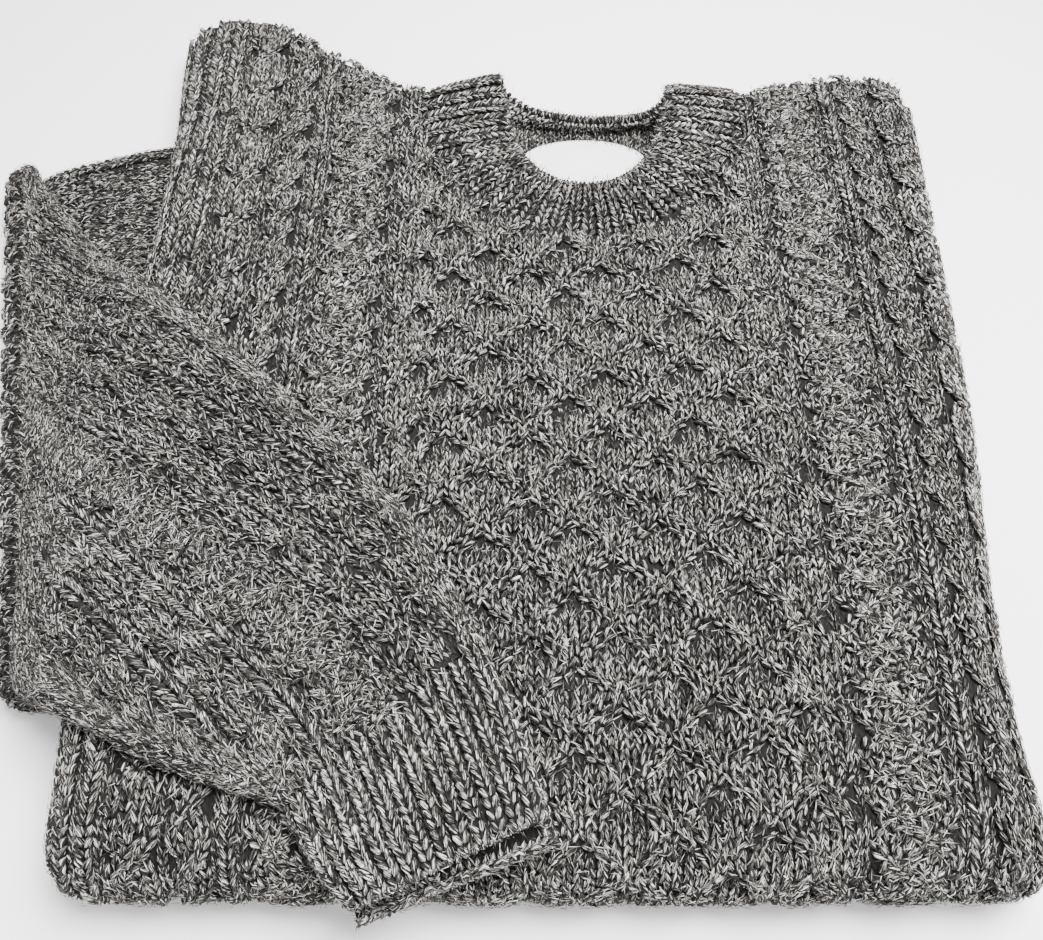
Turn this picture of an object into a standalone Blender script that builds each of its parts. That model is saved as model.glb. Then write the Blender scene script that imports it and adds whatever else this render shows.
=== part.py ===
"""A folded fisherman sweater, laid flat: body folded under at the front, one sleeve crossing it."""
import math

import bmesh
import bpy
import numpy as np

# Driving dimensions, in metres. +X is the viewer's right, +Y goes from the front fold to the shoulders.
WALL = 0.0042            # a knitted layer
SEAM_GAP = 0.0003        # between sewn pieces
CENTRE_X = 0.040         # middle of the honeycomb
FOLD_RADIUS = 0.037      # front fold, outside
FOLD_AXIS_Y = 0.067
REAR_RADIUS = 0.0090     # turn from front to back panel at the shoulders
SEAM_TURN = math.radians(70)     # the shoulder seam lies this far round that turn
LIP_TURN = math.radians(118)     # how far the front panel wraps round the side edges
LIP_TURN_BACK = math.radians(92)  # the same at the shoulders
PLAIN_WIDTH = 0.200      # columns beyond this are spread to the end of the wrap
ORIGIN_SHIFT = (-0.0398, 0.3579)   # the bottom centre of the whole, taken off every piece

CORE_GAP = 0.0032        # clearance of the hidden layers from the wall over them
CORE_FOLD = FOLD_RADIUS - WALL - 0.0050
UPPER_TURNS = [math.radians(turn) for turn in (-35, 0, 35, 70)]
LOWER_TURNS = [math.radians(turn) for turn in (50, 10, -30, -70)]

# Knitted relief, raised from the wall
CROWN = 0.0034
CELL_WIDTH = 0.0485      # honeycomb cells, across and along
CELL_LENGTH = 0.042
HONEYCOMB_HALF = 2 * CELL_WIDTH
ROW_TILT = 0.08          # rows rise this much towards the viewer's right

# Neck
NECK_CENTRE = (0.045, 0.585)
NECK_HALF_WIDTH = 0.118
NECK_DEPTH = 0.140
NECK_FOLD = math.radians(98)     # the band folds over to its back here
NECK_FOLD_WALL = 0.0013   # and is pressed this thin there
NECK_SLANT = 0.09         # the back of the rim drops this much towards the viewer's right
NECKLINE_GAP = 0.0032    # room at the sides, where the neckline's straight steps cut its curve

# Sleeve and cuff
SLEEVE_HALF = 0.0090     # half the flattened tube's thickness at its own fold
SLEEVE_WALL = 0.0040
EDGE_WALL = 0.0055        # the same at the flattened tube's side edges
TURN_RADIUS = 0.0105     # middle of the tube round the sleeve's own fold
UNDER_HEIGHT = 0.0090    # middle of the run that lies on the surface
SLEEVE_EASE = 0.050      # past its fold, the sleeve eases up on to the body over this length
UPRIGHT_SHARE = 0.9      # of the way from the normal to upright, for the layers of a steep climb
CUFF_RIBS = 20
NECK_RIBS = 48
NECK_RIB_DEPTH = 0.0012
CUFF_RIB_DEPTH = 0.0022
CUFF_LENGTH = 0.088
CUFF_LIP = 0.012         # the mouth's lower layer reaches this much further


class Table:
    """Rows of numbers under named columns, read in between by a smooth curve that never overshoots."""

    def __init__(self, columns, rows):
        self.columns = columns.split()
        self.rows = np.array(rows, dtype=float)

    def at(self, column, place):
        keys = self.rows[:, 0]
        values = self.rows[:, self.columns.index(column)]
        place = np.clip(np.asarray(place, dtype=float), keys[0], keys[-1])
        steps = np.diff(keys)
        slopes = np.diff(values) / steps
        tangents = np.zeros(len(keys))
        product = slopes[:-1] * slopes[1:]
        total = slopes[:-1] + slopes[1:]
        tangents[1:-1] = np.where(product > 0, 2 * product / np.where(total == 0, 1, total), 0)
        tangents[0] = slopes[0]
        tangents[-1] = slopes[-1]
        cell = np.clip(np.searchsorted(keys, place, side="right") - 1, 0, len(steps) - 1)
        f = (place - keys[cell]) / steps[cell]
        start = values[cell] * (1 + 2 * f) * (1 - f) ** 2 + tangents[cell] * steps[cell] * f * (1 - f) ** 2
        end = values[cell + 1] * f * f * (3 - 2 * f) + tangents[cell + 1] * steps[cell] * f * f * (f - 1)
        return start + end


# The body by reach: the distance over the cloth, which equals y on the top. It starts under the fold.
BODY = Table("reach left right top lip", [
    (-0.0500, -0.251, 0.280, 0.0740, 0.0210),
    (0.0090, -0.250, 0.273, 0.0740, 0.0210),
    (0.0670, -0.245, 0.266, 0.0740, 0.0210),
    (0.1300, -0.245, 0.267, 0.0735, 0.0205),
    (0.1800, -0.246, 0.270, 0.0730, 0.0200),
    (0.3000, -0.247, 0.283, 0.0690, 0.0190),
    (0.4500, -0.248, 0.290, 0.0600, 0.0170),
    (0.5500, -0.250, 0.292, 0.0520, 0.0155),
    (0.6100, -0.256, 0.293, 0.0460, 0.0145),
    (0.7000, -0.262, 0.293, 0.0380, 0.0130),
])

# The back edge of the shoulders
REAR = Table("x y", [
    (-0.275, 0.655), (-0.255, 0.680), (-0.230, 0.691), (-0.195, 0.680), (-0.140, 0.641), (-0.088, 0.603),
    (-0.050, 0.592), (0.045, 0.586), (0.140, 0.590), (0.186, 0.598), (0.238, 0.613), (0.270, 0.616),
    (0.295, 0.596),
])

# The lower layers' side edges, by y. On the left they leave room for the sleeve.
LOWER = Table("y left right", [
    (0.030, -0.246, 0.262), (0.067, -0.252, 0.279), (0.112, -0.246, 0.282), (0.128, -0.205, 0.279),
    (0.150, -0.192, 0.272), (0.200, -0.190, 0.270), (0.300, -0.190, 0.281), (0.450, -0.190, 0.288),
    (0.560, -0.190, 0.290), (0.590, -0.215, 0.290), (0.620, -0.248, 0.290), (0.700, -0.256, 0.290),
])

# The sleeve's two edges in plan by run: negative under the body, zero at its own fold, then over it
SLEEVE = Table("run upper_x upper_y lower_x lower_y half", [
    (-0.160, -0.208, 0.520, -0.208, 0.160, 0.0085),
    (-0.110, -0.258, 0.556, -0.240, 0.150, 0.0090),
    (-0.055, -0.310, 0.546, -0.257, 0.144, 0.0090),
    (0.000, -0.362, 0.523, -0.275, 0.140, 0.0090),
    (0.060, -0.318, 0.472, -0.263, 0.134, 0.0085),
    (0.120, -0.262, 0.412, -0.247, 0.126, 0.0080),
    (0.190, -0.200, 0.359, -0.216, 0.112, 0.0080),
    (0.260, -0.136, 0.301, -0.179, 0.095, 0.0080),
    (0.320, -0.084, 0.248, -0.150, 0.085, 0.0080),
    (0.370, -0.047, 0.199, -0.128, 0.079, 0.0082),
    (0.410, -0.022, 0.153, -0.113, 0.074, 0.0085),
])

# The cuff by run from its seam
CUFF = Table("run upper_x upper_y lower_x lower_y half", [
    (0.000, -0.0218, 0.1526, -0.1130, 0.0737, 0.0085),
    (0.030, -0.0100, 0.1270, -0.1050, 0.0590, 0.0085),
    (0.060, 0.0010, 0.0990, -0.0960, 0.0450, 0.0090),
    (0.088, 0.0110, 0.0700, -0.0850, 0.0330, 0.0095),
    (0.102, 0.0160, 0.0570, -0.0800, 0.0230, 0.0095),
])

# The neckband by angle from the front, the same both ways: its outer seam and its inner rim
NECKBAND = Table("angle seam_x seam_y seam_z rim_x rim_y rim_z", [
    (-30, -0.0590, 0.4638, 0.0560, -0.0300, 0.4960, 0.0630),
    (0, 0.0000, 0.4450, 0.0570, 0.0000, 0.4865, 0.0625),
    (15, 0.0305, 0.4498, 0.0568, 0.0160, 0.4885, 0.0627),
    (30, 0.0590, 0.4638, 0.0560, 0.0300, 0.4960, 0.0630),
    (45, 0.0834, 0.4860, 0.0545, 0.0410, 0.5070, 0.0635),
    (60, 0.1022, 0.5150, 0.0520, 0.0495, 0.5220, 0.0640),
    (72, 0.1122, 0.5417, 0.0500, 0.0550, 0.5400, 0.0648),
    (84, 0.1160, 0.5640, 0.0488, 0.0590, 0.5620, 0.0655),
    (92, 0.1130, 0.5750, 0.0486, 0.0612, 0.5730, 0.0667),
    (100, 0.1050, 0.5810, 0.0480, 0.0613, 0.5785, 0.0645),
    (111, 0.0910, 0.5810, 0.0460, 0.0585, 0.5755, 0.0595),
    (124, 0.0730, 0.5755, 0.0436, 0.0505, 0.5685, 0.0560),
    (140, 0.0500, 0.5710, 0.0412, 0.0370, 0.5625, 0.0540),
    (160, 0.0250, 0.5675, 0.0400, 0.0190, 0.5595, 0.0537),
    (180, 0.0000, 0.5655, 0.0398, 0.0000, 0.5580, 0.0535),
    (205, -0.0300, 0.5685, 0.0402, -0.0230, 0.5600, 0.0537),
])

# Bands of knitting outward from the middle of the body: where each starts, and its width
BODY_BANDS = [
    ("box", 0.101, 0.025), ("plait", 0.130, 0.046), ("column", 0.180, 0.008), ("rope", 0.192, 0.021),
    ("box", 0.217, 0.025), ("column", 0.246, 0.008), ("column", 0.258, 0.008), ("column", 0.270, 0.008),
    ("column", 0.283, 0.008),
]
SLEEVE_BANDS = [
    ("column", -0.158, 0.018), ("column", -0.132, 0.018),
    ("rope", -0.106, 0.024), ("column", -0.080, 0.010), ("box", -0.067, 0.025), ("column", -0.041, 0.010),
    ("plait", -0.028, 0.042), ("box", 0.017, 0.025), ("rope", 0.045, 0.024), ("column", 0.071, 0.010),
    ("rope", 0.084, 0.024), ("column", 0.114, 0.018), ("column", 0.140, 0.018),
]
BAND_SAMPLES = {"box": (0.16, 0.5, 0.84), "plait": (0.08, 0.25, 0.42, 0.58, 0.75, 0.92),
                "rope": (0.16, 0.5, 0.84), "column": (0.5,)}


def smooth_step(value, start, end):
    f = np.clip((value - start) / (end - start), 0, 1)
    return f * f * (3 - 2 * f)


def ridge(offset, width):
    """A round crown: one at its middle, nought at half its width."""
    f = np.clip(1 - (2 * offset / width) ** 2, 0, 1)
    return np.sqrt(f)


def band_relief(kind, f, width, run):
    """Height of one band of knitting at the fraction f of its width, run metres along it."""
    offset = (f - 0.5) * width
    edge = ridge(offset, width)
    if kind == "column":
        return 0.65 * edge
    if kind == "box":
        waist = 0.5 - 0.5 * np.cos(2 * math.pi * run / 0.045)
        return edge * (0.80 - 0.20 * np.cos(4 * math.pi * (f - 0.5)) * waist) + 0.12 * (1 - waist) * edge
    if kind == "rope":
        twist = np.cos(2 * math.pi * (run / 0.026 + offset / width * 0.8))
        return edge * (0.78 + 0.22 * twist)
    strands = np.zeros(np.broadcast(f, run).shape)
    for strand in range(3):
        phase = 2 * math.pi * (run / 0.063 + strand / 3)
        centre = 0.30 * width * np.sin(phase)
        height = 0.78 + 0.22 * np.cos(2 * phase)
        strands = np.maximum(strands, height * ridge(offset - centre, 0.42 * width))
    return strands


def honeycomb_relief(across, run):
    """Ropes that part and meet, so that cells stand in rows, each row half a cell along from the last."""
    height = np.full(np.broadcast(across, run).shape, 0.22)
    sway = CELL_WIDTH / 8 * np.cos(2 * math.pi * run / CELL_LENGTH)
    for rope in range(-4, 5):
        centre = rope * CELL_WIDTH / 2 + (-1) ** rope * sway
        height = np.maximum(height, ridge(across - centre, 0.0150))
    return height


def banded_relief(across, run, bands):
    height = np.zeros(np.broadcast(across, run).shape)
    for kind, start, width in bands:
        f = (across - start) / width
        inside = (f > 0) & (f < 1)
        height = np.where(inside, band_relief(kind, np.clip(f, 0, 1), width, run), height)
    return height


def body_relief(across, reach):
    """The body's cables, flattened where the cloth rests on the floor."""
    run = reach - ROW_TILT * across
    side = np.abs(across)
    banded = banded_relief(side, run, BODY_BANDS)
    pattern = np.where(side < HONEYCOMB_HALF, honeycomb_relief(across, run), banded)
    return CROWN * pattern * smooth_step(reach, -0.040, -0.018)


def band_columns(bands):
    columns = []
    for kind, start, width in bands:
        columns.append(start)
        columns += [start + f * width for f in BAND_SAMPLES[kind]]
        columns.append(start + width)
    merged = []
    for place in sorted(columns):
        if merged and place - merged[-1] < 0.0045:
            merged[-1] = (place + merged[-1]) / 2
        else:
            merged.append(place)
    return merged


def rear_line(x):
    return REAR.at("y", x)


def lip_turn(reach):
    return LIP_TURN + (LIP_TURN_BACK - LIP_TURN) * smooth_step(reach, 0.48, 0.57)


def spread(across, reach):
    """Columns past PLAIN_WIDTH are spread so that the last one ends the wrap, whatever the width here."""
    side = np.sign(across)
    edge = np.where(across > 0, BODY.at("right", reach) - CENTRE_X, CENTRE_X - BODY.at("left", reach))
    lip = BODY.at("lip", reach)
    end = edge - lip + lip_turn(reach) * lip
    last = np.where(across > 0, RIGHT_COLUMNS[-1], LEFT_COLUMNS[-1])
    size = np.abs(across)
    far = PLAIN_WIDTH + (size - PLAIN_WIDTH) * (end - PLAIN_WIDTH) / (last - PLAIN_WIDTH)
    return side * np.where(size > PLAIN_WIDTH, far, size)


def body_point(across, reach):
    """The body's outside at a place on the cloth: x from the width, y and z from the fold and the top."""
    lip = BODY.at("lip", reach)
    side = np.sign(across)
    edge = np.where(across > 0, BODY.at("right", reach) - CENTRE_X, CENTRE_X - BODY.at("left", reach))
    flat = edge - lip
    turn = np.clip((np.abs(across) - flat) / lip, 0, lip_turn(reach))
    x = CENTRE_X + side * (np.minimum(np.abs(across), flat) + lip * np.sin(turn))
    drop = lip * (1 - np.cos(turn))
    alpha = np.clip((FOLD_AXIS_Y - reach) / FOLD_RADIUS, 0, math.pi)
    rear_radius = REAR_RADIUS * np.clip(1 - 0.5 * drop / lip, 0.35, 1)
    rear_start = rear_line(x) - 0.010 * (1 - np.cos(turn)) - rear_radius
    y_top = np.maximum(reach, FOLD_AXIS_Y)
    beta = np.clip((y_top - rear_start) / rear_radius, 0, math.pi)
    y = np.where(y_top > rear_start, rear_start + rear_radius * np.sin(beta), y_top)
    z = BODY.at("top", np.minimum(y_top, rear_start)) - drop - rear_radius * (1 - np.cos(beta))
    folded = alpha > 0
    y = np.where(folded, FOLD_AXIS_Y - (FOLD_RADIUS - drop) * np.sin(alpha), y)
    z = np.where(folded, FOLD_RADIUS + (FOLD_RADIUS - drop) * np.cos(alpha), z)
    return np.stack(np.broadcast_arrays(x, y, z), axis=-1)


def normals(surface, first, second):
    """Normals of a surface of two numbers, from small steps each way."""
    step = 0.0004
    along_first = surface(first + step, second) - surface(first - step, second)
    along_second = surface(first, second + step) - surface(first, second - step)
    cross = np.cross(along_first, along_second)
    return cross / np.linalg.norm(cross, axis=-1, keepdims=True)


def reach_end(across):
    """Where the front panel ends: at the neckline, or at the shoulder seam on the back edge."""
    x = body_point(across, np.full_like(across, 0.55))[..., 0]
    outside = np.clip((np.abs(across) - 0.20) / 0.07, 0, 1)
    seam = rear_line(x) - REAR_RADIUS - 0.020 * outside ** 2 + REAR_RADIUS * SEAM_TURN
    ellipse = np.clip(1 - ((x - NECK_CENTRE[0]) / (NECK_HALF_WIDTH + NECKLINE_GAP)) ** 2, 0, 1)
    neckline = NECK_CENTRE[1] - (NECK_DEPTH + NECKLINE_GAP) * np.sqrt(ellipse)
    return np.where(ellipse > 0, np.minimum(neckline, seam), seam)


HONEYCOMB_COLUMNS = [CELL_WIDTH / 8 + CELL_WIDTH / 4 * step for step in range(8)]
SIDE_COLUMNS = HONEYCOMB_COLUMNS + band_columns(BODY_BANDS)
RIGHT_COLUMNS = [place for place in SIDE_COLUMNS if place < 0.262]
LEFT_COLUMNS = [place for place in SIDE_COLUMNS if place < 0.296]


def add_object(name, points, faces, material):
    mesh = bpy.data.meshes.new(name)
    mesh.from_pydata([tuple(point) for point in points], [], faces)
    body = bmesh.new()
    body.from_mesh(mesh)
    bmesh.ops.recalc_face_normals(body, faces=body.faces)
    if body.calc_volume(signed=True) < 0:
        bmesh.ops.reverse_faces(body, faces=body.faces)
    for vertex in body.verts:
        vertex.co.x -= ORIGIN_SHIFT[0]
        vertex.co.y -= ORIGIN_SHIFT[1]
    body.to_mesh(mesh)
    body.free()
    mesh.shade_smooth()
    piece = bpy.data.objects.new(name, mesh)
    piece.data.materials.append(material)
    bpy.context.scene.collection.objects.link(piece)
    return piece


def wool(name, colour):
    material = bpy.data.materials.new(name)
    material.use_nodes = True
    shader = material.node_tree.nodes["Principled BSDF"]
    shader.inputs["Base Color"].default_value = (*colour, 1)
    shader.inputs["Roughness"].default_value = 0.95
    shader.inputs["Metallic"].default_value = 0.0
    return material


def walled(name, outer, inner, row_picks, column_picks, around, material):
    """One closed wall: a fine outer grid, a plain inner grid on some of its rows and columns, and rims."""
    rows, columns = outer.shape[:2]
    inner_rows, inner_columns = inner.shape[:2]
    points = np.concatenate([outer.reshape(-1, 3), inner.reshape(-1, 3)])
    base = rows * columns

    def out(row, column):
        return row * columns + column % columns

    def inn(row, column):
        return base + row * inner_columns + column % inner_columns

    faces = []
    for row in range(rows - 1):
        for column in range(columns if around else columns - 1):
            faces.append((out(row, column), out(row, column + 1), out(row + 1, column + 1), out(row + 1, column)))
    for row in range(inner_rows - 1):
        for column in range(inner_columns if around else inner_columns - 1):
            faces.append((inn(row, column), inn(row + 1, column), inn(row + 1, column + 1), inn(row, column + 1)))
    stops = list(column_picks) + ([column_picks[0] + columns] if around else [])
    for outer_row, inner_row in ((0, 0), (rows - 1, inner_rows - 1)):
        for place in range(len(stops) - 1):
            edge = [out(outer_row, column) for column in range(stops[place], stops[place + 1] + 1)]
            faces.append(tuple(edge + [inn(inner_row, place + 1), inn(inner_row, place)]))
    if not around:
        for outer_column, inner_column in ((0, 0), (columns - 1, inner_columns - 1)):
            for place in range(len(row_picks) - 1):
                edge = [out(row, outer_column) for row in range(row_picks[place], row_picks[place + 1] + 1)]
                faces.append(tuple(edge + [inn(place + 1, inner_column), inn(place, inner_column)]))
    return add_object(name, points, faces, material)


def every(count, step):
    """Indices with a step between them, first and last included."""
    picks = list(range(0, count - 1, step))
    if count - 1 - picks[-1] < step / 2 and len(picks) > 1:
        picks.pop()
    return picks + [count - 1]


def front_panel(material):
    columns = np.array([-place for place in reversed(LEFT_COLUMNS)] + RIGHT_COLUMNS)
    under = [-0.0480, -0.0300, -0.0130]
    fixed = list(np.arange(0.0, 0.362, 0.0105))
    last_fixed = fixed[-1]
    shares = np.linspace(0, 1, 19)[1:]
    ends = reach_end(columns)
    reach = np.array([np.full(len(columns), value) for value in under + fixed]
                     + [last_fixed + share * (ends - last_fixed) for share in shares])
    across = spread(np.broadcast_to(columns, reach.shape), reach)
    surface_normals = normals(body_point, across, reach)
    outer = body_point(across, reach) + surface_normals * body_relief(
        np.broadcast_to(columns, reach.shape), reach)[..., None]
    row_picks = every(len(reach), 2)
    column_picks = [pick for pick, place in enumerate(columns)
                    if pick % 3 == 0 or abs(place) > 0.2 or 0.08 < abs(place) < 0.13]
    column_picks = sorted(set(column_picks + [len(columns) - 1]))
    coarse = np.ix_(row_picks, column_picks)
    inner = (body_point(across, reach) - surface_normals * WALL)[coarse]
    walled("front_panel", outer, inner, row_picks, column_picks, False, material)


def back_point(across, turn_length):
    """The back panel from under the neck to the shoulder seam, its turn upward at the back edge."""
    x = CENTRE_X + across
    rear_start = rear_line(x) - REAR_RADIUS
    beta = np.clip(turn_length / REAR_RADIUS, 0, math.pi)
    y = rear_start + REAR_RADIUS * np.sin(beta) + np.minimum(turn_length, 0)
    top = BODY.at("top", np.minimum(y, rear_start))
    z = top - REAR_RADIUS * (1 + np.cos(beta))
    return np.stack(np.broadcast_arrays(x, y, z), axis=-1)


def back_panel(material):
    """It lies on the folded layers, runs back beneath the front panel and turns up to the seam."""
    left = BODY.at("left", 0.62) + BODY.at("lip", 0.62) + 0.002
    right = BODY.at("right", 0.60) - BODY.at("lip", 0.60) - 0.006
    columns = np.linspace(left, right, 25) - CENTRE_X
    x = columns + CENTRE_X
    near = smooth_step(np.abs(x - NECK_CENTRE[0]), 0.085, 0.112)
    end = near * REAR_RADIUS * (math.pi - SEAM_TURN - SEAM_GAP / REAR_RADIUS - 0.07) - (1 - near) * 0.003
    start = 0.430 - (rear_line(x) - REAR_RADIUS)
    shares = np.array([0, 0.33, 0.66, 0.9])
    turning = np.linspace(0, 1, 5)
    flat_end = np.minimum(end, 0) - 0.002
    length = np.array([start + share * (flat_end - start) for share in shares]
                      + [flat_end + share * (end - flat_end) for share in turning])
    across = np.broadcast_to(columns, length.shape)
    outer = back_point(across, length)
    beta = np.clip(length / REAR_RADIUS, 0, math.pi)
    to_centre = np.stack([np.zeros_like(beta), -np.sin(beta), np.cos(beta)], axis=-1)
    inward = normals(back_point, across, length)
    inward = inward * np.sign((inward * to_centre).sum(axis=-1, keepdims=True))
    inner = outer + inward * WALL
    row_picks = list(range(len(length)))
    column_picks = list(range(len(columns)))
    walled("back_panel", outer, inner, row_picks, column_picks, False, material)


def cover_height(x, y):
    """Height at which a sleeve's underside clears the body's cables, the floor run or the front fold."""
    front = np.clip(FOLD_AXIS_Y - y, 0, None)
    over_body = BODY.at("top", np.maximum(y, FOLD_AXIS_Y)) + CROWN + 0.0008 - 12 * front ** 2
    beside = UNDER_HEIGHT + 2 * TURN_RADIUS - SLEEVE_HALF
    climb = smooth_step(x - BODY.at("left", y), -0.065, 0.012)
    return beside + climb * (over_body - beside)


def edge_places(table, run):
    upper = np.stack([table.at("upper_x", run), table.at("upper_y", run)], axis=-1)
    lower = np.stack([table.at("lower_x", run), table.at("lower_y", run)], axis=-1)
    return upper, lower


def tube_plan(table, run, offset):
    """Plan position at an offset from the middle of a flattened tube, and half its width there."""
    upper, lower = edge_places(table, run)
    half_width = np.linalg.norm(upper - lower, axis=-1) / 2
    place = (upper + lower) / 2 + (upper - lower) / 2 * (offset / half_width)[..., None]
    return place, half_width


SLEEVE_TURN = math.pi * TURN_RADIUS


def sleeve_middle(path, offset):
    """Middle of the sleeve's two layers: under the body, round its own fold, then over the body."""
    run = np.where(path < 0, path, np.maximum(path - SLEEVE_TURN, 0))
    place = tube_plan(SLEEVE, run, offset)[0]
    upper, lower = edge_places(SLEEVE, np.zeros(1))
    along = (upper - lower)[0] / np.linalg.norm(upper - lower)
    outward = np.array([-along[1], along[0]])
    turn = np.clip(path / TURN_RADIUS, 0, math.pi)
    place = place + outward * (TURN_RADIUS * np.sin(turn))[..., None]
    below = UNDER_HEIGHT + TURN_RADIUS * (1 - np.cos(turn))
    above = cover_height(place[..., 0], place[..., 1]) + SLEEVE.at("half", run)
    z = below + (above - below) * smooth_step(path - SLEEVE_TURN, 0, SLEEVE_EASE)
    return np.concatenate([place, z[..., None]], axis=-1)


def sleeve_facing(path, offset):
    """Which way the two layers part: the middle's normal, leaning upright where it climbs steeply."""
    facing = normals(sleeve_middle, path, offset)
    upright = UPRIGHT_SHARE * smooth_step(path - SLEEVE_TURN, -0.004, 0.004)
    facing = facing * (1 - upright[..., None]) + np.array([0, 0, 1]) * upright[..., None]
    return facing / np.linalg.norm(facing, axis=-1, keepdims=True)


def cuff_middle(run, offset):
    place = tube_plan(CUFF, run, offset)[0]
    z = cover_height(place[..., 0], place[..., 1]) + CUFF.at("half", run)
    return np.concatenate([place, z[..., None]], axis=-1)


def crowd(columns, half_width):
    """Columns keep their offsets in the middle and crowd together towards a narrower tube's edges."""
    share = np.abs(columns)[None, :] / half_width[:, None]
    last = np.abs(columns).max() / half_width[:, None]
    room = 0.25
    packed = 1 - room + room * (1 - np.exp(-(share - 1 + room) / room)) / (1 - np.exp(-(last - 1 + room) / room))
    return np.sign(columns) * np.where(share > 1 - room, packed, share) * half_width[:, None]


def edge_round(offset, half_width, radius):
    """Share of the full thickness left near a flattened tube's side edges."""
    f = np.clip((half_width - np.abs(offset)) / radius, 0, 1)
    return np.sqrt(1 - (1 - f) ** 2)


def sleeve_right(material):
    samples = band_columns(SLEEVE_BANDS)
    columns = np.array([-0.2000] + [place for place in samples if abs(place) < 0.185] + [0.2000])
    under = list(np.linspace(-0.158, -0.015, 5))
    turning = list(np.linspace(0, SLEEVE_TURN, 6))
    over = list(SLEEVE_TURN + np.linspace(0.014, 0.410, 28))
    path = np.array(under + turning + over)
    run = np.where(path < 0, path, np.maximum(path - SLEEVE_TURN, 0))
    half_width = tube_plan(SLEEVE, run, np.zeros_like(run))[1]
    top = crowd(columns, half_width)
    plain_picks = every(len(columns), 4)
    bottom = top[:, plain_picks][:, ::-1][:, 1:-1]
    relief = CROWN * banded_relief(top, np.broadcast_to(run[:, None], top.shape), SLEEVE_BANDS)
    shown = smooth_step(path, 0.35 * SLEEVE_TURN, 0.65 * SLEEVE_TURN)[:, None]
    rings = []
    inner_rings = []
    for offset, side, raised in ((top, 1, relief * shown), (bottom, -1, 0 * bottom)):
        paths = np.broadcast_to(path[:, None], offset.shape)
        width = np.broadcast_to(half_width[:, None], offset.shape)
        half = SLEEVE.at("half", np.broadcast_to(run[:, None], offset.shape))
        share = edge_round(offset, width, 0.013)
        facing = sleeve_facing(paths, offset)
        middle = sleeve_middle(paths, offset)
        rings.append(middle + facing * (side * (half * share + raised * share))[..., None])
        drawn_in = offset * (1 - EDGE_WALL / width)
        inner_middle = sleeve_middle(paths, drawn_in)
        inner_share = edge_round(drawn_in, width - EDGE_WALL, 0.010)
        inner_rings.append(inner_middle + facing * (side * (half - SLEEVE_WALL) * inner_share)[..., None])
    outer = np.concatenate(rings, axis=1)
    turn_rows = range(len(under) - 1, len(under) + len(turning) + 8)
    row_picks = sorted(set(every(len(path), 2)) | set(turn_rows))
    column_picks = plain_picks + list(range(len(columns), outer.shape[1]))
    inner = np.concatenate(inner_rings, axis=1)[np.ix_(row_picks, column_picks)]
    walled("sleeve_right", outer, inner, row_picks, column_picks, True, material)


def cuff_right(material):
    angles = np.linspace(0, 2 * math.pi, 2 * CUFF_RIBS, endpoint=False)
    run = np.array([SEAM_GAP, 0.012, 0.030, 0.048, 0.062, 0.076, CUFF_LENGTH])
    half_width = tube_plan(CUFF, run, np.zeros_like(run))[1]
    span = np.abs(np.cos(angles)) ** 0.75 * np.sign(np.cos(angles))
    side = np.sign(np.sin(angles))
    lower = np.clip(-np.sin(angles) * 4, 0, 1)
    runs = run[:, None] + CUFF_LIP * smooth_step(run[:, None], 0.020, CUFF_LENGTH) * lower[None, :]
    relief = CUFF_RIB_DEPTH / 2 * np.where(np.arange(len(angles)) % 2 == 0, 1, -1)
    half = CUFF.at("half", runs)
    shells = []
    for depth, raised in ((0.0, relief), (SLEEVE_WALL, 0 * relief)):
        offset = span[None, :] * (half_width[:, None] - depth)
        share = np.abs(np.sin(angles)) ** 0.5
        facing = normals(cuff_middle, runs, offset)
        thick = side * (half - depth + raised * (1 - 0.6 * lower)) * share
        shells.append(cuff_middle(runs, offset) + facing * thick[..., None])
    row_picks = [0, 2, 4, 6]
    column_picks = list(range(0, len(angles), 2))
    inner = shells[1][np.ix_(row_picks, column_picks)]
    walled("cuff_right", shells[0], inner, row_picks, column_picks, True, material)


def neck_surface(angle, share):
    """From the band's seam to its rim, a little rounded, at an angle from the front."""
    turned = np.mod(angle + math.pi, 2 * math.pi) - math.pi
    side = np.sign(turned) + (turned == 0)
    degrees = np.degrees(np.abs(turned))
    seam = np.stack([NECK_CENTRE[0] + side * NECKBAND.at("seam_x", degrees),
                     NECKBAND.at("seam_y", degrees), NECKBAND.at("seam_z", degrees)], axis=-1)
    rim = np.stack([NECK_CENTRE[0] + side * NECKBAND.at("rim_x", degrees),
                    NECKBAND.at("rim_y", degrees), NECKBAND.at("rim_z", degrees)], axis=-1)
    rim[..., 1] -= NECK_SLANT * (rim[..., 0] - NECK_CENTRE[0]) * smooth_step(degrees, 60, 95)
    place = seam + (rim - seam) * share[..., None]
    bow = 0.0030 * np.sin(math.pi * share) * (0.5 + 0.5 * np.cos(turned))
    return place + np.array([0, 0, 1]) * bow[..., None]


def neckband(material):
    count = 2 * NECK_RIBS
    angles = np.linspace(-math.pi, math.pi, count, endpoint=False)
    shares = np.array([0, 0.22, 0.55, 0.85, 1.0])
    angle, share = np.meshgrid(angles, shares)
    facing = sum(normals(neck_surface, angle + step, np.clip(share, 0.02, 0.98))
                 for step in (-0.15, -0.10, -0.05, 0, 0.05, 0.10, 0.15)) / 7
    relief = np.where(np.arange(count) % 2 == 0, NECK_RIB_DEPTH, 0.0) * np.array([0.6, 1, 1, 1, 0.4])[:, None]
    outer = neck_surface(angle, share) + facing * relief[..., None]
    row_picks = [0, 1, 2, 3, 4]
    bend = np.abs(np.abs(angle) - NECK_FOLD)
    column_picks = [pick for pick in range(count) if pick % 2 == 0 or bend[0, pick] < 0.35]
    wall = WALL - (WALL - NECK_FOLD_WALL) * (1 - smooth_step(bend, 0.12, 0.55))
    inner = (neck_surface(angle, share) - facing * wall[..., None])[np.ix_(row_picks, column_picks)]
    walled("neckband", outer, inner, row_picks, column_picks, True, material)


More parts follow.
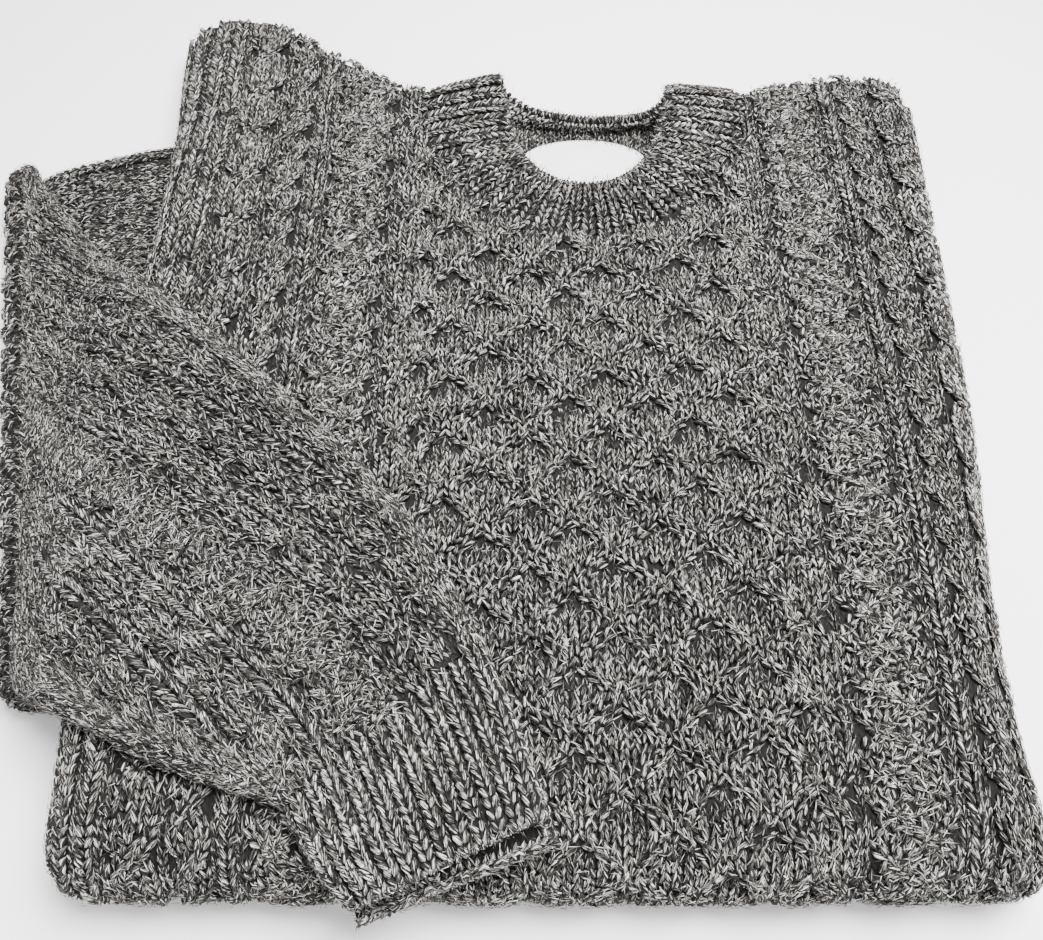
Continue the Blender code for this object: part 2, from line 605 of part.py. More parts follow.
def neck_floor(y):
    """Upper face of the back panel inside the neck."""
    return BODY.at("top", y) - 2 * REAR_RADIUS + WALL


def neck_label(material):
    """A plain half oval sewn at the back of the neck, its round side up, following the back panel."""
    half_width = 0.0500
    foot_y = 0.4975
    height = 0.0535
    thickness = 0.0008
    turns = np.linspace(0, math.pi, 17)
    outline_x = NECK_CENTRE[0] + half_width * np.cos(turns)
    outline_y = foot_y + height * np.sin(turns) ** 0.5
    points = []
    for lift in (SEAM_GAP + 0.0002, SEAM_GAP + 0.0002 + thickness):
        for x, y in zip(outline_x, outline_y):
            points.append((x, y, float(neck_floor(y)) + lift))
    count = len(turns)
    faces = [tuple(range(count)), tuple(range(2 * count - 1, count - 1, -1))]
    for place in range(count):
        after = (place + 1) % count
        faces.append((place, after, count + after, count + place))
    add_object("neck_label", points, faces, material)


def layer_levels(y, closed_front):
    """Heights of the hidden layers at y: their top, the groove between the lobes, and their underside."""
    top = BODY.at("top", y)
    under_back = smooth_step(y, 0.33, 0.42)
    roof = top - WALL - CORE_GAP - under_back * (2 * REAR_RADIUS + 0.0010 - WALL - CORE_GAP)
    groove = top - 1.5 * BODY.at("lip", y) - 0.0012
    floor = np.zeros_like(top)
    if closed_front:
        room = np.maximum(CORE_FOLD ** 2 - np.maximum(FOLD_AXIS_Y - y, 0) ** 2, 1e-8)
        roof = FOLD_RADIUS + np.sqrt(room)
        floor = FOLD_RADIUS - np.sqrt(room)
        groove = np.full_like(top, FOLD_RADIUS)
    return roof, groove, floor


def layer_ring(start, share, squeeze, closed_front):
    """A section of the hidden layers: an upper and a lower lobe each side. Rings bend with the back edge."""
    def ring_y(x):
        back = rear_line(x) - 0.003 - 0.004 * (1 - squeeze)
        return start + share * (back - start)

    side_y = {"left": float(ring_y(-0.235)), "right": float(ring_y(0.265))}
    upper = []
    lower = []
    for side, sign in (("left", -1), ("right", 1)):
        y = side_y[side]
        lip = float(BODY.at("lip", y))
        axis = float(BODY.at(side, y)) - sign * lip
        under_back = float(smooth_step(y, 0.33, 0.42))
        out = (lip - WALL - CORE_GAP) * (1 - under_back) + 0.0035 * under_back
        low_edge = float(LOWER.at(side, y))
        low_out = 0.016
        if closed_front:
            room = max(CORE_FOLD ** 2 - max(FOLD_AXIS_Y - y, 0) ** 2, 1e-8)
            out = 0.010 * math.sqrt(room) / CORE_FOLD
            low_edge = axis + sign * out
            low_out = out
        upper.append([(axis + sign * out * math.cos(turn), math.sin(turn)) for turn in UPPER_TURNS])
        lower.append([(low_edge + sign * low_out * (math.cos(turn) - 1), math.sin(turn)) for turn in LOWER_TURNS])
        upper[-1].append((axis, 1.0))
        lower[-1].append((low_edge - sign * low_out, -1.0))
    steps = [place / 8 for place in range(1, 8)]
    chains = []
    for left_lobe, right_lobe in (upper, lower):
        start_x, level = left_lobe[-1]
        end_x = right_lobe[-1][0]
        flat = [(start_x + step * (end_x - start_x), level) for step in steps]
        chains.append(left_lobe + flat + right_lobe[::-1])
    waist = [(upper[0][-1][0], 0.0), (upper[1][-1][0], 0.0)]
    x = np.array([place[0] for place in [waist[0]] + chains[0] + [waist[1]] + chains[1][::-1]])
    level = np.array([place[1] for place in [waist[0]] + chains[0] + [waist[1]] + chains[1][::-1]])
    chain = np.array([0] + [1] * len(chains[0]) + [0] + [-1] * len(chains[1]))
    y = ring_y(x)
    roof, groove, floor = layer_levels(y, closed_front)
    above = groove + (roof - groove) * (1 + level) / 2
    low_top = groove - 0.0010 * (0 if closed_front else 1)
    below = floor + (low_top - floor) * (1 + level) / 2
    z = np.where(chain > 0, above, np.where(chain < 0, below, groove))
    centre = (roof + floor) / 2
    half = (roof - floor) / 2
    z = centre + (z - centre) * (1 - 0.008 * squeeze / half)
    return np.stack([x, y, z], axis=-1)


def folded_layers(material):
    """All that lies hidden, from inside the front fold to the back edge under the shoulders."""
    sections = []
    for turn in (78, 58, 36, 12):
        sections.append((FOLD_AXIS_Y - CORE_FOLD * math.sin(math.radians(turn)), 0.0, 0.0, True))
    sections.append((FOLD_AXIS_Y + 0.0020, 0.0, 0.0, True))
    for y in (0.0700, 0.090, 0.112, 0.130, 0.152, 0.200, 0.260, 0.330, 0.385, 0.425, 0.480):
        sections.append((y, 0.0, 0.0, False))
    for share, squeeze in ((0.33, 0.0), (0.62, 0.0), (0.82, 0.0), (0.95, 0.3), (1.0, 1.0)):
        sections.append((0.480, share, squeeze, False))
    rings = [layer_ring(*section) for section in sections]
    points = np.concatenate(rings)
    count = len(rings[0])
    faces = []
    for ring in range(len(rings) - 1):
        for place in range(count):
            after = (place + 1) % count
            faces.append((ring * count + place, ring * count + after,
                          (ring + 1) * count + after, (ring + 1) * count + place))
    waist = count // 2
    lobe = len(UPPER_TURNS) + 1
    for base in (0, (len(rings) - 1) * count):
        caps = [[0] + list(range(1, lobe + 1)), [0] + list(range(count - lobe, count)),
                [waist] + list(range(waist - lobe, waist)), [waist] + list(range(waist + 1, waist + lobe + 1))]
        for step in range(waist - 2 * lobe):
            top = lobe + step
            bottom = count - lobe - step
            cap = [top, top + 1, bottom - 1, bottom]
            if step == 0:
                cap.append(0)
            if step == waist - 2 * lobe - 1:
                cap.insert(2, waist)
            caps.append(cap)
        faces += [tuple(base + place for place in cap) for cap in caps]
    add_object("folded_layers", points, faces, material)


def clear_scene():
    for piece in list(bpy.data.objects):
        bpy.data.objects.remove(piece)


def main():
    clear_scene()
    folded_layers(wool("hidden_wool", (0.140, 0.135, 0.130)))
    front_panel(wool("front_wool", (0.160, 0.155, 0.149)))
    back_panel(wool("back_wool", (0.135, 0.130, 0.125)))
    sleeve_right(wool("sleeve_wool", (0.158, 0.153, 0.148)))
    cuff_right(wool("cuff_wool", (0.172, 0.166, 0.160)))
    neckband(wool("neckband_wool", (0.145, 0.142, 0.138)))
    neck_label(wool("label_cloth", (0.82, 0.85, 0.85)))


main()
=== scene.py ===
import math

import bmesh
import bpy
import numpy as np
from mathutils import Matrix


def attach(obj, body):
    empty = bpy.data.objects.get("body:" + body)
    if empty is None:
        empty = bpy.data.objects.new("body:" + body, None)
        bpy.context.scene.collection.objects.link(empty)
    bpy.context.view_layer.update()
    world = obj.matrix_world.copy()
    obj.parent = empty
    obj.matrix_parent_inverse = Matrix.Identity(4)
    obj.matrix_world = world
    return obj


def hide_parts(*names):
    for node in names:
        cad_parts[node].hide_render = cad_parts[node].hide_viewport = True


# A cable-knit sweater, folded flat. Each panel is a thin cloth with its cables raised on it, and every stitch is
# two bent lobes of yarn laid along the knitting's own columns, with loose hairs over them. All is in metres.
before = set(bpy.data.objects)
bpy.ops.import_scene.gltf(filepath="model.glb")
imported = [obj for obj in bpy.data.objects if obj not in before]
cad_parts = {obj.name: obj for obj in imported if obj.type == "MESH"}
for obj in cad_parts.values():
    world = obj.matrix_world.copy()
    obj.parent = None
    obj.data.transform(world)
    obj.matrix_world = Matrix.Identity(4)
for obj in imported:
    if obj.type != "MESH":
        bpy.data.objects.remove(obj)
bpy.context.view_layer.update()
rng = np.random.default_rng(11)
originShift = np.array([-0.0398, 0.3579, 0.0])  # the layout's zero, taken off every mesh
print("frame loaded")


def smoothStep(value, start, end):
    # 0 before start, 1 after end, and 3f^2 - 2f^3 between
    f = np.clip((value - start) / (end - start), 0, 1)
    return f * f * (3 - 2 * f)


class Course:
    # Rows of numbers under named columns. Between rows each column follows a cubic whose slope at a row is the
    # harmonic mean of the slopes on both sides, so it never overshoots.
    def __init__(self, columns, rows):
        self.columns = columns.split()
        self.rows = np.array(rows, dtype=float)

    def at(self, column, place):
        keys = self.rows[:, 0]
        values = self.rows[:, self.columns.index(column)]
        place = np.clip(np.asarray(place, dtype=float), keys[0], keys[-1])
        steps = np.diff(keys)
        slopes = np.diff(values) / steps
        tangents = np.zeros(len(keys))
        product = slopes[:-1] * slopes[1:]
        total = slopes[:-1] + slopes[1:]
        tangents[1:-1] = np.where(product > 0, 2 * product / np.where(total == 0, 1, total), 0)
        tangents[0] = slopes[0]
        tangents[-1] = slopes[-1]
        cell = np.clip(np.searchsorted(keys, place, side="right") - 1, 0, len(steps) - 1)
        f = (place - keys[cell]) / steps[cell]
        start = values[cell] * (1 + 2 * f) * (1 - f) ** 2 + tangents[cell] * steps[cell] * f * (1 - f) ** 2
        end = values[cell + 1] * f * f * (3 - 2 * f) + tangents[cell + 1] * steps[cell] * f * f * (f - 1)
        return start + end


def unit(vectors):
    # Each vector over its own length
    return vectors / np.maximum(np.linalg.norm(vectors, axis=-1, keepdims=True), 1e-9)


def wrapped(angle):
    # The same angle between minus pi and pi
    return np.mod(angle + math.pi, 2 * math.pi) - math.pi


def pairsOf(first, second):
    # Every pair of two rows of numbers, as two flat rows
    return [grid.ravel() for grid in np.meshgrid(first, second)]


def joined(parts):
    # The first arrays of all the parts end to end, then their second ones, and so on
    return [np.concatenate(arrays) for arrays in zip(*parts)]


def turnedTo(normal, guide):
    # The normal, or its opposite where its dot product with the guide is negative
    return np.where((normal * guide).sum(axis=-1, keepdims=True) < 0, -normal, normal)


def sideOf(along, up, width):
    # Across a stitch: the unit cross product of its direction and its normal, times its width
    return unit(np.cross(along, up)) * width


def surfaceFrame(surface, first, second, step=0.0006):
    # Slopes of a two-number surface from small steps each way, and their cross product as the normal
    alongFirst = (surface(first + step, second) - surface(first - step, second)) / (2 * step)
    alongSecond = (surface(first, second + step) - surface(first, second - step)) / (2 * step)
    return alongFirst, alongSecond, unit(np.cross(alongFirst, alongSecond))


# Materials

class Wire:
    # A socket that can be added, multiplied and so on: each expression adds its Math node
    def __init__(self, tree, socket):
        self.tree = tree
        self.socket = socket

    def math(self, operation, other=None, flip=False):
        node = self.tree.nodes.new("ShaderNodeMath")
        node.operation = operation
        terms = [self, other] if not flip else [other, self]
        for place, term in enumerate(terms):
            if isinstance(term, Wire):
                self.tree.links.new(term.socket, node.inputs[place])
            elif term is not None:
                node.inputs[place].default_value = term
        return Wire(self.tree, node.outputs[0])

    def __add__(self, other): return self.math("ADD", other)
    def __radd__(self, other): return self.math("ADD", other)
    def __sub__(self, other): return self.math("SUBTRACT", other)
    def __rsub__(self, other): return self.math("SUBTRACT", other, True)
    def __mul__(self, other): return self.math("MULTIPLY", other)
    def __truediv__(self, other): return self.math("DIVIDE", other)


class Finish:
    # A node material on a Principled shader, with one method for every other node
    def __init__(self, name, roughness=0.9, sheen=0.0):
        self.material = bpy.data.materials.new(name)
        self.material.use_nodes = True
        self.tree = self.material.node_tree
        self.shader = self.tree.nodes["Principled BSDF"]
        self.shader.inputs["Roughness"].default_value = roughness
        self.shader.inputs["Sheen Weight"].default_value = sheen
        self.shader.inputs["Sheen Roughness"].default_value = 0.45
        self.shader.inputs["Specular IOR Level"].default_value = 0.25

    def node(self, kind, output=0, settings=None, stops=None, **sockets):
        made = self.tree.nodes.new(kind)
        for key, value in (settings or {}).items():
            setattr(made, key, value)
        if stops:
            ramp = made.color_ramp
            while len(ramp.elements) < len(stops):
                ramp.elements.new(0.5)
            for element, (place, colour) in zip(ramp.elements, stops):
                element.position = place
                element.color = (*colour, 1)
        for key, value in sockets.items():
            if isinstance(value, Wire):
                self.tree.links.new(value.socket, made.inputs[key])
            else:
                made.inputs[key].default_value = value
        return Wire(self.tree, made.outputs[output])

    def feed(self, name, wire):
        self.tree.links.new(wire.socket, self.shader.inputs[name])

    def bump(self, height, distance, strength=1.0):
        made = self.node("ShaderNodeBump", Height=height, Distance=distance, Strength=strength)
        self.feed("Normal", made)


wool = {
    "shade": (0.0042, 0.0038, 0.0035), "mid": (0.0275, 0.0253, 0.0233), "pale": (0.245, 0.233, 0.220),
    "tip": (0.60, 0.575, 0.548), "streakLength": 0.0075, "streakWidth": 0.00085, "patchSize": 0.035,
    "contrast": 4.6, "level": 0.43, "patches": 0.30, "toneWeight": 0.50,
}


def yarnFinish(name, lightness):
    # Marled yarn: streaks drawn out along each lobe, from near black to pale grey, and slow patches over all
    finish = Finish(name, roughness=0.88)
    uv = finish.node("ShaderNodeUVMap", settings={"uv_map": "yarnUV"})
    stretched = finish.node("ShaderNodeMapping", Vector=uv,
                            Scale=(1 / wool["streakLength"], 1 / wool["streakWidth"], 1))
    streak = finish.node("ShaderNodeTexNoise", settings={"noise_dimensions": "2D"}, Vector=stretched, Scale=1.0,
                         Detail=2.5, Roughness=0.62, Distortion=0.35)
    place = finish.node("ShaderNodeTexCoord", output=3)
    patch = finish.node("ShaderNodeTexNoise", Vector=place, Scale=1 / wool["patchSize"], Detail=2.0, Roughness=0.55)
    tone = finish.node("ShaderNodeAttribute", output=2, settings={"attribute_name": "tone"})
    value = ((streak - 0.5) * wool["contrast"] + wool["level"] + (patch - 0.5) * wool["patches"]
             + (tone - 1.0) * wool["toneWeight"] + lightness)
    colour = finish.node("ShaderNodeValToRGB", Fac=value, stops=[
        (0.08, wool["shade"]), (0.48, wool["mid"]), (0.82, wool["pale"]), (1.0, wool["tip"])])
    finish.feed("Base Color", colour)
    finish.bump(streak, 0.0005, 0.8)
    return finish.material


def clothFinish(name, lightness, pitch=0.0050, width=0.0060):
    # The cloth behind the stitches, and the parts that lie hidden: rows of V shaped stitches from the cloth's own
    # UV map in metres. A V is a row wave whose phase follows the distance from its column's middle.
    finish = Finish(name, roughness=0.92)
    uv = finish.node("ShaderNodeUVMap", settings={"uv_map": "clothUV"})
    across = finish.node("ShaderNodeSeparateXYZ", Vector=uv)
    along = Wire(finish.tree, across.socket.node.outputs[1])
    column = (across / width).math("FRACT") - 0.5
    side = column.math("ABSOLUTE")
    row = (along / pitch - side * 1.5).math("FRACT") - 0.5
    leg = 1.0 - (row * row) * 3.2 - ((side - 0.26) * (side - 0.26)) * 11.0
    place = finish.node("ShaderNodeTexCoord", output=3)
    fibre = finish.node("ShaderNodeTexNoise", Vector=place, Scale=1500.0, Detail=2.0, Roughness=0.6)
    patch = finish.node("ShaderNodeTexNoise", Vector=place, Scale=1 / wool["patchSize"], Detail=2.0)
    value = leg * 0.55 + (fibre - 0.5) * 1.4 + (patch - 0.5) * 0.2 + lightness
    colour = finish.node("ShaderNodeValToRGB", Fac=value, stops=[
        (0.10, wool["shade"]), (0.60, wool["mid"]), (0.95, wool["pale"])])
    finish.feed("Base Color", colour)
    finish.bump(leg + fibre * 0.35, 0.0012, 0.9)
    return finish.material


yarnBody = yarnFinish("bodyYarn", -0.10)
yarnSleeve = yarnFinish("sleeveYarn", -0.19)
yarnCuff = yarnFinish("cuffYarn", -0.03)
yarnNeck = yarnFinish("neckYarn", -0.14)
# The front's cloth is set dark, lightness -0.42, so that where it shows between the stitches and cables it is painted
# shade in those gaps
clothBodyPaintedShade = clothFinish("bodyCloth", -0.42)
clothHidden = clothFinish("hiddenCloth", 0.22)


# Meshes

def putMesh(name, points, faces, material, smooth=True):
    # A mesh of faces with three or four corners each, its points moved from the layout's zero to the part's
    mesh = bpy.data.meshes.new(name)
    mesh.vertices.add(len(points))
    mesh.vertices.foreach_set("co", np.asarray(points - originShift, np.float32).ravel())
    mesh.loops.add(faces.size)
    mesh.loops.foreach_set("vertex_index", np.asarray(faces, np.int32).ravel())
    mesh.polygons.add(len(faces))
    mesh.polygons.foreach_set("loop_start", np.arange(len(faces), dtype=np.int32) * faces.shape[1])
    mesh.update(calc_edges=True)
    mesh.polygons.foreach_set("use_smooth", np.full(len(faces), smooth))
    mesh.materials.append(material)
    piece = bpy.data.objects.new(name, mesh)
    bpy.context.scene.collection.objects.link(piece)
    return piece


def addUv(piece, name, values):
    # A UV layer from a pair of numbers for each corner
    layer = piece.data.uv_layers.new(name=name)
    layer.data.foreach_set("uv", np.asarray(values, np.float32).ravel())


def addCells(piece, shape, count):
    # The bake map: each lobe or hair has its own small cell of a square sheet
    cells = int(math.ceil(math.sqrt(count)))
    number = np.arange(count)
    corner = np.stack([number % cells, number // cells], axis=-1)[:, None, :]
    addUv(piece, "OFBake", (corner + shape[None]) / cells)


def addTone(piece, tones, pointsEach):
    # One tone for all points of a lobe or hair
    layer = piece.data.attributes.new("tone", "FLOAT", "POINT")
    layer.data.foreach_set("value", np.repeat(tones.ravel(), pointsEach).astype(np.float32))


def wallMesh(name, outer, inner, around, material, clothUv):
    # Two grids of the same size joined round their edges into a closed thin wall. Signed volume turns it outwards.
    # A corner of a face is three numbers: its point, and its row and column in the UV grid.
    rows, columns = outer.shape[:2]
    uvGrid = clothUv
    number = np.arange(rows * columns).reshape(rows, columns)
    if around:
        number = np.concatenate([number, number[:, :1]], axis=1)
        uvGrid = np.concatenate([clothUv, clothUv[:, :1] + [0.006, 0]], axis=1)
    o = np.stack([number, *np.indices(number.shape)], axis=-1)
    i = o + [rows * columns, 0, 0]
    near, far = slice(None, -1), slice(1, None)

    def quads(*corners):
        return np.stack([corner.reshape(-1, 3) for corner in corners], axis=1)

    sides = [quads(o[near, near], o[near, far], o[far, far], o[far, near]),
             quads(i[far, near], i[far, far], i[near, far], i[near, near])]
    rims = [quads(o[0, far], o[0, near], i[0, near], i[0, far]),
            quads(o[-1, near], o[-1, far], i[-1, far], i[-1, near])]
    if not around:
        rims += [quads(o[near, 0], o[far, 0], i[far, 0], i[near, 0]),
                 quads(o[far, -1], o[near, -1], i[near, -1], i[far, -1])]
    corners = np.concatenate(sides + rims)
    points = np.concatenate([outer.reshape(-1, 3), inner.reshape(-1, 3)])
    a, b, c, d = [points[corners[:, k, 0]] for k in range(4)]
    if (np.einsum("ij,ij->i", a, np.cross(b, c)) + np.einsum("ij,ij->i", a, np.cross(c, d))).sum() < 0:
        corners = corners[:, ::-1]
    piece = putMesh(name, points, corners[..., 0], material)
    uv = uvGrid[corners[..., 1], corners[..., 2]].reshape(-1, 2)
    addUv(piece, "clothUV", uv)
    # The bake map: outer side and rims in its left half, inner side in its right half
    low, high = uvGrid.reshape(-1, 2).min(0), uvGrid.reshape(-1, 2).max(0)
    atlas = (uv - low) / (high - low) * [0.49, 0.98] + [0.005, 0.01]
    atlas[4 * len(sides[0]):4 * (len(sides[0]) + len(sides[1])), 0] += 0.5
    addUv(piece, "OFBake", atlas)
    return piece


# Stitches

lobe = {
    "rings": (0.26, 0.72), "sides": 3, "start": -0.62, "reach": 1.42, "inset": 0.055, "flare": 0.43,
    "radius": 0.262, "height": 0.92, "bulge": 0.95, "tuck": 0.65, "jitter": 0.07, "lowest": 0.0016, "floor": 0.0004,
    "tips": (-0.03, 1.03), "fullRadius": 0.0019, "swell": (0.9, 1.12), "flarePower": 0.9,
    "stitchTone": 0.15, "lobeTone": 0.12,
}
hairs = {"half": 0.00033, "thick": 0.00016, "length": (0.0040, 0.0085), "lift": (0.0000, 0.0008),
         "lowest": 0.0003, "size": (0.65, 1.3), "lastRoot": 0.85, "spread": 0.33, "over": 0.9, "loose": 0.22,
         "swing": 0.26, "looseSwing": 0.9, "looseLift": 0.0012, "bend": 0.2, "bendLift": 0.00025}
allStitches = []


def lobeLine(f):
    # Shares along, across and up at f from a lobe's foot to its tip: start + reach f, inset + flare f^0.9, and
    # bulge sin(pi f) - tuck (1 - sin(pi f))
    inside = np.clip(f, 0, 1)
    arch = np.sin(math.pi * inside)
    return (lobe["start"] + lobe["reach"] * f, lobe["inset"] + lobe["flare"] * inside ** lobe["flarePower"],
            lobe["bulge"] * arch - lobe["tuck"] * (1 - arch))


def addStitches(name, centre, along, across, up, material, tone=1.0):
    # Every stitch is a V of two lobes, whose middle lines start near its point. Round each go two rings of three
    # points, one of them on top, with a pole at each tip.
    above = centre[:, 2] + up[:, 2] * 0.0008 > lobe["lowest"]  # none lie under what the sweater rests on
    tone = np.broadcast_to(tone, len(centre))[above]
    centre, along, across, up = centre[above], along[above], across[above], up[above]
    count = len(centre)
    jitter = lobe["jitter"]
    along = along * (1 + rng.normal(0, jitter, (count, 1))) + across * rng.normal(0, jitter, (count, 1))
    side = np.array([-1.0, 1.0])[None, :]
    radius = lobe["radius"] * np.linalg.norm(across, axis=-1)
    rise = lobe["height"] * np.minimum(radius, lobe["fullRadius"])
    alongShare, acrossShare, lift = lobeLine(np.array([lobe["tips"][0], *lobe["rings"], lobe["tips"][1]]))
    middle = (centre[:, None, None] + along[:, None, None] * alongShare[:, None]
              + across[:, None, None] * (side[..., None] * acrossShare)[..., None]
              + up[:, None, None] * (lift * rise[:, None, None])[..., None])
    heading = unit(along[:, None, :] * lobe["reach"] + across[:, None, :] * (side * lobe["flare"])[..., None])
    sideways = unit(np.cross(up[:, None, :], heading))
    sides = lobe["sides"]
    turns = 2 * math.pi * np.arange(sides) / sides + math.pi / 2
    swell = rng.uniform(*lobe["swell"], (count, 2, 1, 1, 1))
    wide, high = [size[:, None, None, None, None] for size in (radius, rise)]
    ring = (np.cos(turns)[:, None] * sideways[:, :, None, None] * wide * swell
            + np.sin(turns)[:, None] * up[:, None, None, None] * high * swell)
    rings = (middle[:, :, 1:3, None] + ring).reshape(count, 2, 2 * sides, 3)
    perLobe = 2 + 2 * sides
    points = np.concatenate([middle[:, :, :1], rings, middle[:, :, 3:]], axis=2).reshape(-1, 3)
    # Faces of one lobe, and each corner's place along and round it
    faces, marks = [], []
    first, second = lobe["rings"]
    for k in range(sides):
        after = (k + 1) % sides
        here, there = k / sides, (k + 1) / sides
        faces += [(0, 1 + after, 1 + k), (1 + k, 1 + after, 1 + sides + after),
                  (1 + k, 1 + sides + after, 1 + sides + k), (1 + sides + k, 1 + sides + after, perLobe - 1)]
        marks += [[(0, (here + there) / 2), (first, there), (first, here)],
                  [(first, here), (first, there), (second, there)], [(first, here), (second, there), (second, here)],
                  [(second, here), (second, there), (1, (here + there) / 2)]]
    faces, marks = np.array(faces), np.array(marks)
    a, b, c = [points[faces[:, k]] for k in range(3)]
    if np.einsum("ij,ij->i", a - points[:perLobe].mean(0), np.cross(b - a, c - a)).sum() < 0:
        faces, marks = faces[:, ::-1], marks[:, ::-1]
    marks = marks.reshape(-1, 2)
    corners = (faces[None] + np.arange(count * 2)[:, None, None] * perLobe).reshape(-1, 3)
    floor = lobe["floor"]
    points[:, 2] = np.where(points[:, 2] < floor, floor + 0.003 * (points[:, 2] - floor), points[:, 2])
    piece = putMesh(name, points, corners, material)
    legLength = np.linalg.norm(along, axis=-1).mean() * 1.2
    girth = 2 * math.pi * float(radius.mean()) * 0.9
    seeds = rng.uniform(0, 40, (count * 2, 1, 2)) * [legLength, girth]
    addUv(piece, "yarnUV", marks[None] * [legLength, girth] + seeds + marks[None, :, ::-1] * [0, 0.25 * legLength])
    addCells(piece, 0.08 + 0.84 * marks, count * 2)
    tones = (rng.normal(1.0, lobe["stitchTone"], (count, 1)) + rng.normal(0, lobe["lobeTone"], (count, 2))
             + (tone[:, None] - 1))
    addTone(piece, tones, perLobe)
    allStitches.append((centre, along, across, up, rise))
    print("stitches", name, count)
    return piece


def addHairs(name, share, perLobe, material):
    # Loose hairs, each a long thin four-faced spike on a lobe's top. It runs along its lobe, turned by a small angle
    # most of the time and by a large one now and then, and its tip lifts a little.
    centre, along, across, up, rise = joined(share)
    count = int(len(centre) * 2 * perLobe)
    pick = rng.integers(0, len(centre), count)
    side = rng.choice([-1.0, 1.0], (count, 1))
    f = rng.uniform(0.0, hairs["lastRoot"], (count, 1))
    centre, along, across, up, rise = centre[pick], along[pick], across[pick], up[pick], rise[pick][:, None]
    alongShare, acrossShare, lift = lobeLine(f)
    off = rng.normal(0, hairs["spread"], (count, 1)) * lobe["radius"]
    root = centre + along * alongShare + across * (side * acrossShare + off) + up * ((lift + hairs["over"]) * rise)
    heading = unit(along * lobe["reach"] + across * (side * lobe["flare"]))
    loose = rng.random((count, 1)) < hairs["loose"]
    swing = rng.normal(0, hairs["swing"], (count, 1)) + loose * rng.normal(0, hairs["looseSwing"], (count, 1))
    flip = rng.choice([-1.0, 1.0], (count, 1))
    heading = (heading * np.cos(swing) + unit(np.cross(up, heading)) * np.sin(swing)) * flip
    sideways = unit(np.cross(up, heading))
    long = rng.uniform(*hairs["length"], (count, 1))
    high = rng.uniform(*hairs["lift"], (count, 1)) + loose * rng.uniform(0, hairs["looseLift"], (count, 1))
    tip = root + heading * long + up * high
    size = rng.uniform(*hairs["size"], (count, 1))
    middle = root + heading * long * hairs["bend"] + up * (high * hairs["bend"] + hairs["bendLift"])
    ring = [middle + size * (math.cos(t) * sideways * hairs["half"] + math.sin(t) * up * hairs["thick"])
            for t in (math.pi / 2, math.pi * 7 / 6, math.pi * 11 / 6)]
    points = np.stack([*ring, tip], axis=1)
    points = points[points[..., 2].min(axis=1) > hairs["lowest"]]
    count = len(points)
    faces = np.array([(0, 1, 2), (3, 1, 0), (3, 2, 1), (3, 0, 2)])
    a, b, c = [points[:, faces[:, k]] for k in range(3)]
    if np.einsum("ijk,ijk->", a - points.mean(1, keepdims=True), np.cross(b - a, c - a)) < 0:
        faces = faces[:, ::-1]
    corners = (faces[None] + np.arange(count)[:, None, None] * 4).reshape(-1, 3)
    piece = putMesh(name, points.reshape(-1, 3), corners, material)
    addCells(piece, np.array([(0.1, 0.1), (0.9, 0.1), (0.5, 0.9)] * 4), count)
    addTone(piece, rng.uniform(0, 1, (count, 1)), 4)
    print("hairs", name, count)
    return piece


def hairFinish():
    # Loose hairs by their own tone: most of them dark, and a few nearly white
    finish = Finish("looseHair", roughness=0.7)
    tone = finish.node("ShaderNodeAttribute", output=2, settings={"attribute_name": "tone"})
    colour = finish.node("ShaderNodeValToRGB", Fac=tone, stops=[
        (0.0, (0.005, 0.0046, 0.0042)), (0.42, (0.028, 0.026, 0.024)), (0.70, (0.19, 0.180, 0.169)),
        (1.0, (0.66, 0.633, 0.602))])
    finish.feed("Base Color", colour)
    return finish.material


# The body's knitting

body = {
    "centreX": 0.040, "foldRadius": 0.037, "foldAxisY": 0.074, "rearRadius": 0.0090, "wall": 0.0034,
    "seamTurn": math.radians(70), "lipTurn": math.radians(118), "lipTurnBack": math.radians(92),
    "plainWidth": 0.200, "lastLeft": 0.291, "lastRight": 0.256, "crown": 0.0034,
    "cellWidth": 0.0485, "cellLength": 0.042, "rowTilt": 0.08, "wale": 0.0060, "pitch": 0.0050,
    "neckCentre": (0.045, 0.585), "neckHalf": 0.118, "neckDepth": 0.140, "foldFade": (-0.040, -0.018),
    "relief": 0.92, "sink": 0.0006, "stagger": 0.0026, "steepest": 1.6,
}
comb = {"rope": 0.0150, "level": 0.10, "ropeWale": 0.0062, "cellWale": 0.0058, "ropeLift": 1.02, "ropeTone": 1.03}
bodyEdges = Course("reach left right top lip", [
    (-0.0500, -0.240, 0.276, 0.0740, 0.0210), (0.0090, -0.239, 0.269, 0.0740, 0.0210),
    (0.0670, -0.235, 0.260, 0.0740, 0.0210), (0.1300, -0.239, 0.257, 0.0735, 0.0205),
    (0.1800, -0.243, 0.259, 0.0730, 0.0200), (0.3000, -0.247, 0.272, 0.0690, 0.0190),
    (0.4500, -0.248, 0.281, 0.0600, 0.0170), (0.5500, -0.250, 0.287, 0.0520, 0.0155),
    (0.6100, -0.256, 0.289, 0.0460, 0.0145), (0.7000, -0.262, 0.290, 0.0380, 0.0130)])
rearEdge = Course("x y", [
    (-0.275, 0.655), (-0.255, 0.678), (-0.230, 0.688), (-0.195, 0.675), (-0.140, 0.635), (-0.088, 0.599),
    (-0.050, 0.592), (0.045, 0.586), (0.140, 0.590), (0.186, 0.596), (0.238, 0.609), (0.270, 0.607),
    (0.295, 0.583)])
bodyBands = [
    ("box", 0.101, 0.025), ("plait", 0.130, 0.046), ("column", 0.180, 0.008), ("rope", 0.192, 0.021),
    ("box", 0.217, 0.025), ("column", 0.246, 0.008), ("column", 0.258, 0.008), ("column", 0.270, 0.008),
    ("column", 0.283, 0.008)]


def ridge(offset, width):
    # A round crown, the square root of one less the squared share of half its width
    return np.sqrt(np.clip(1 - (2 * offset / width) ** 2, 0, 1))


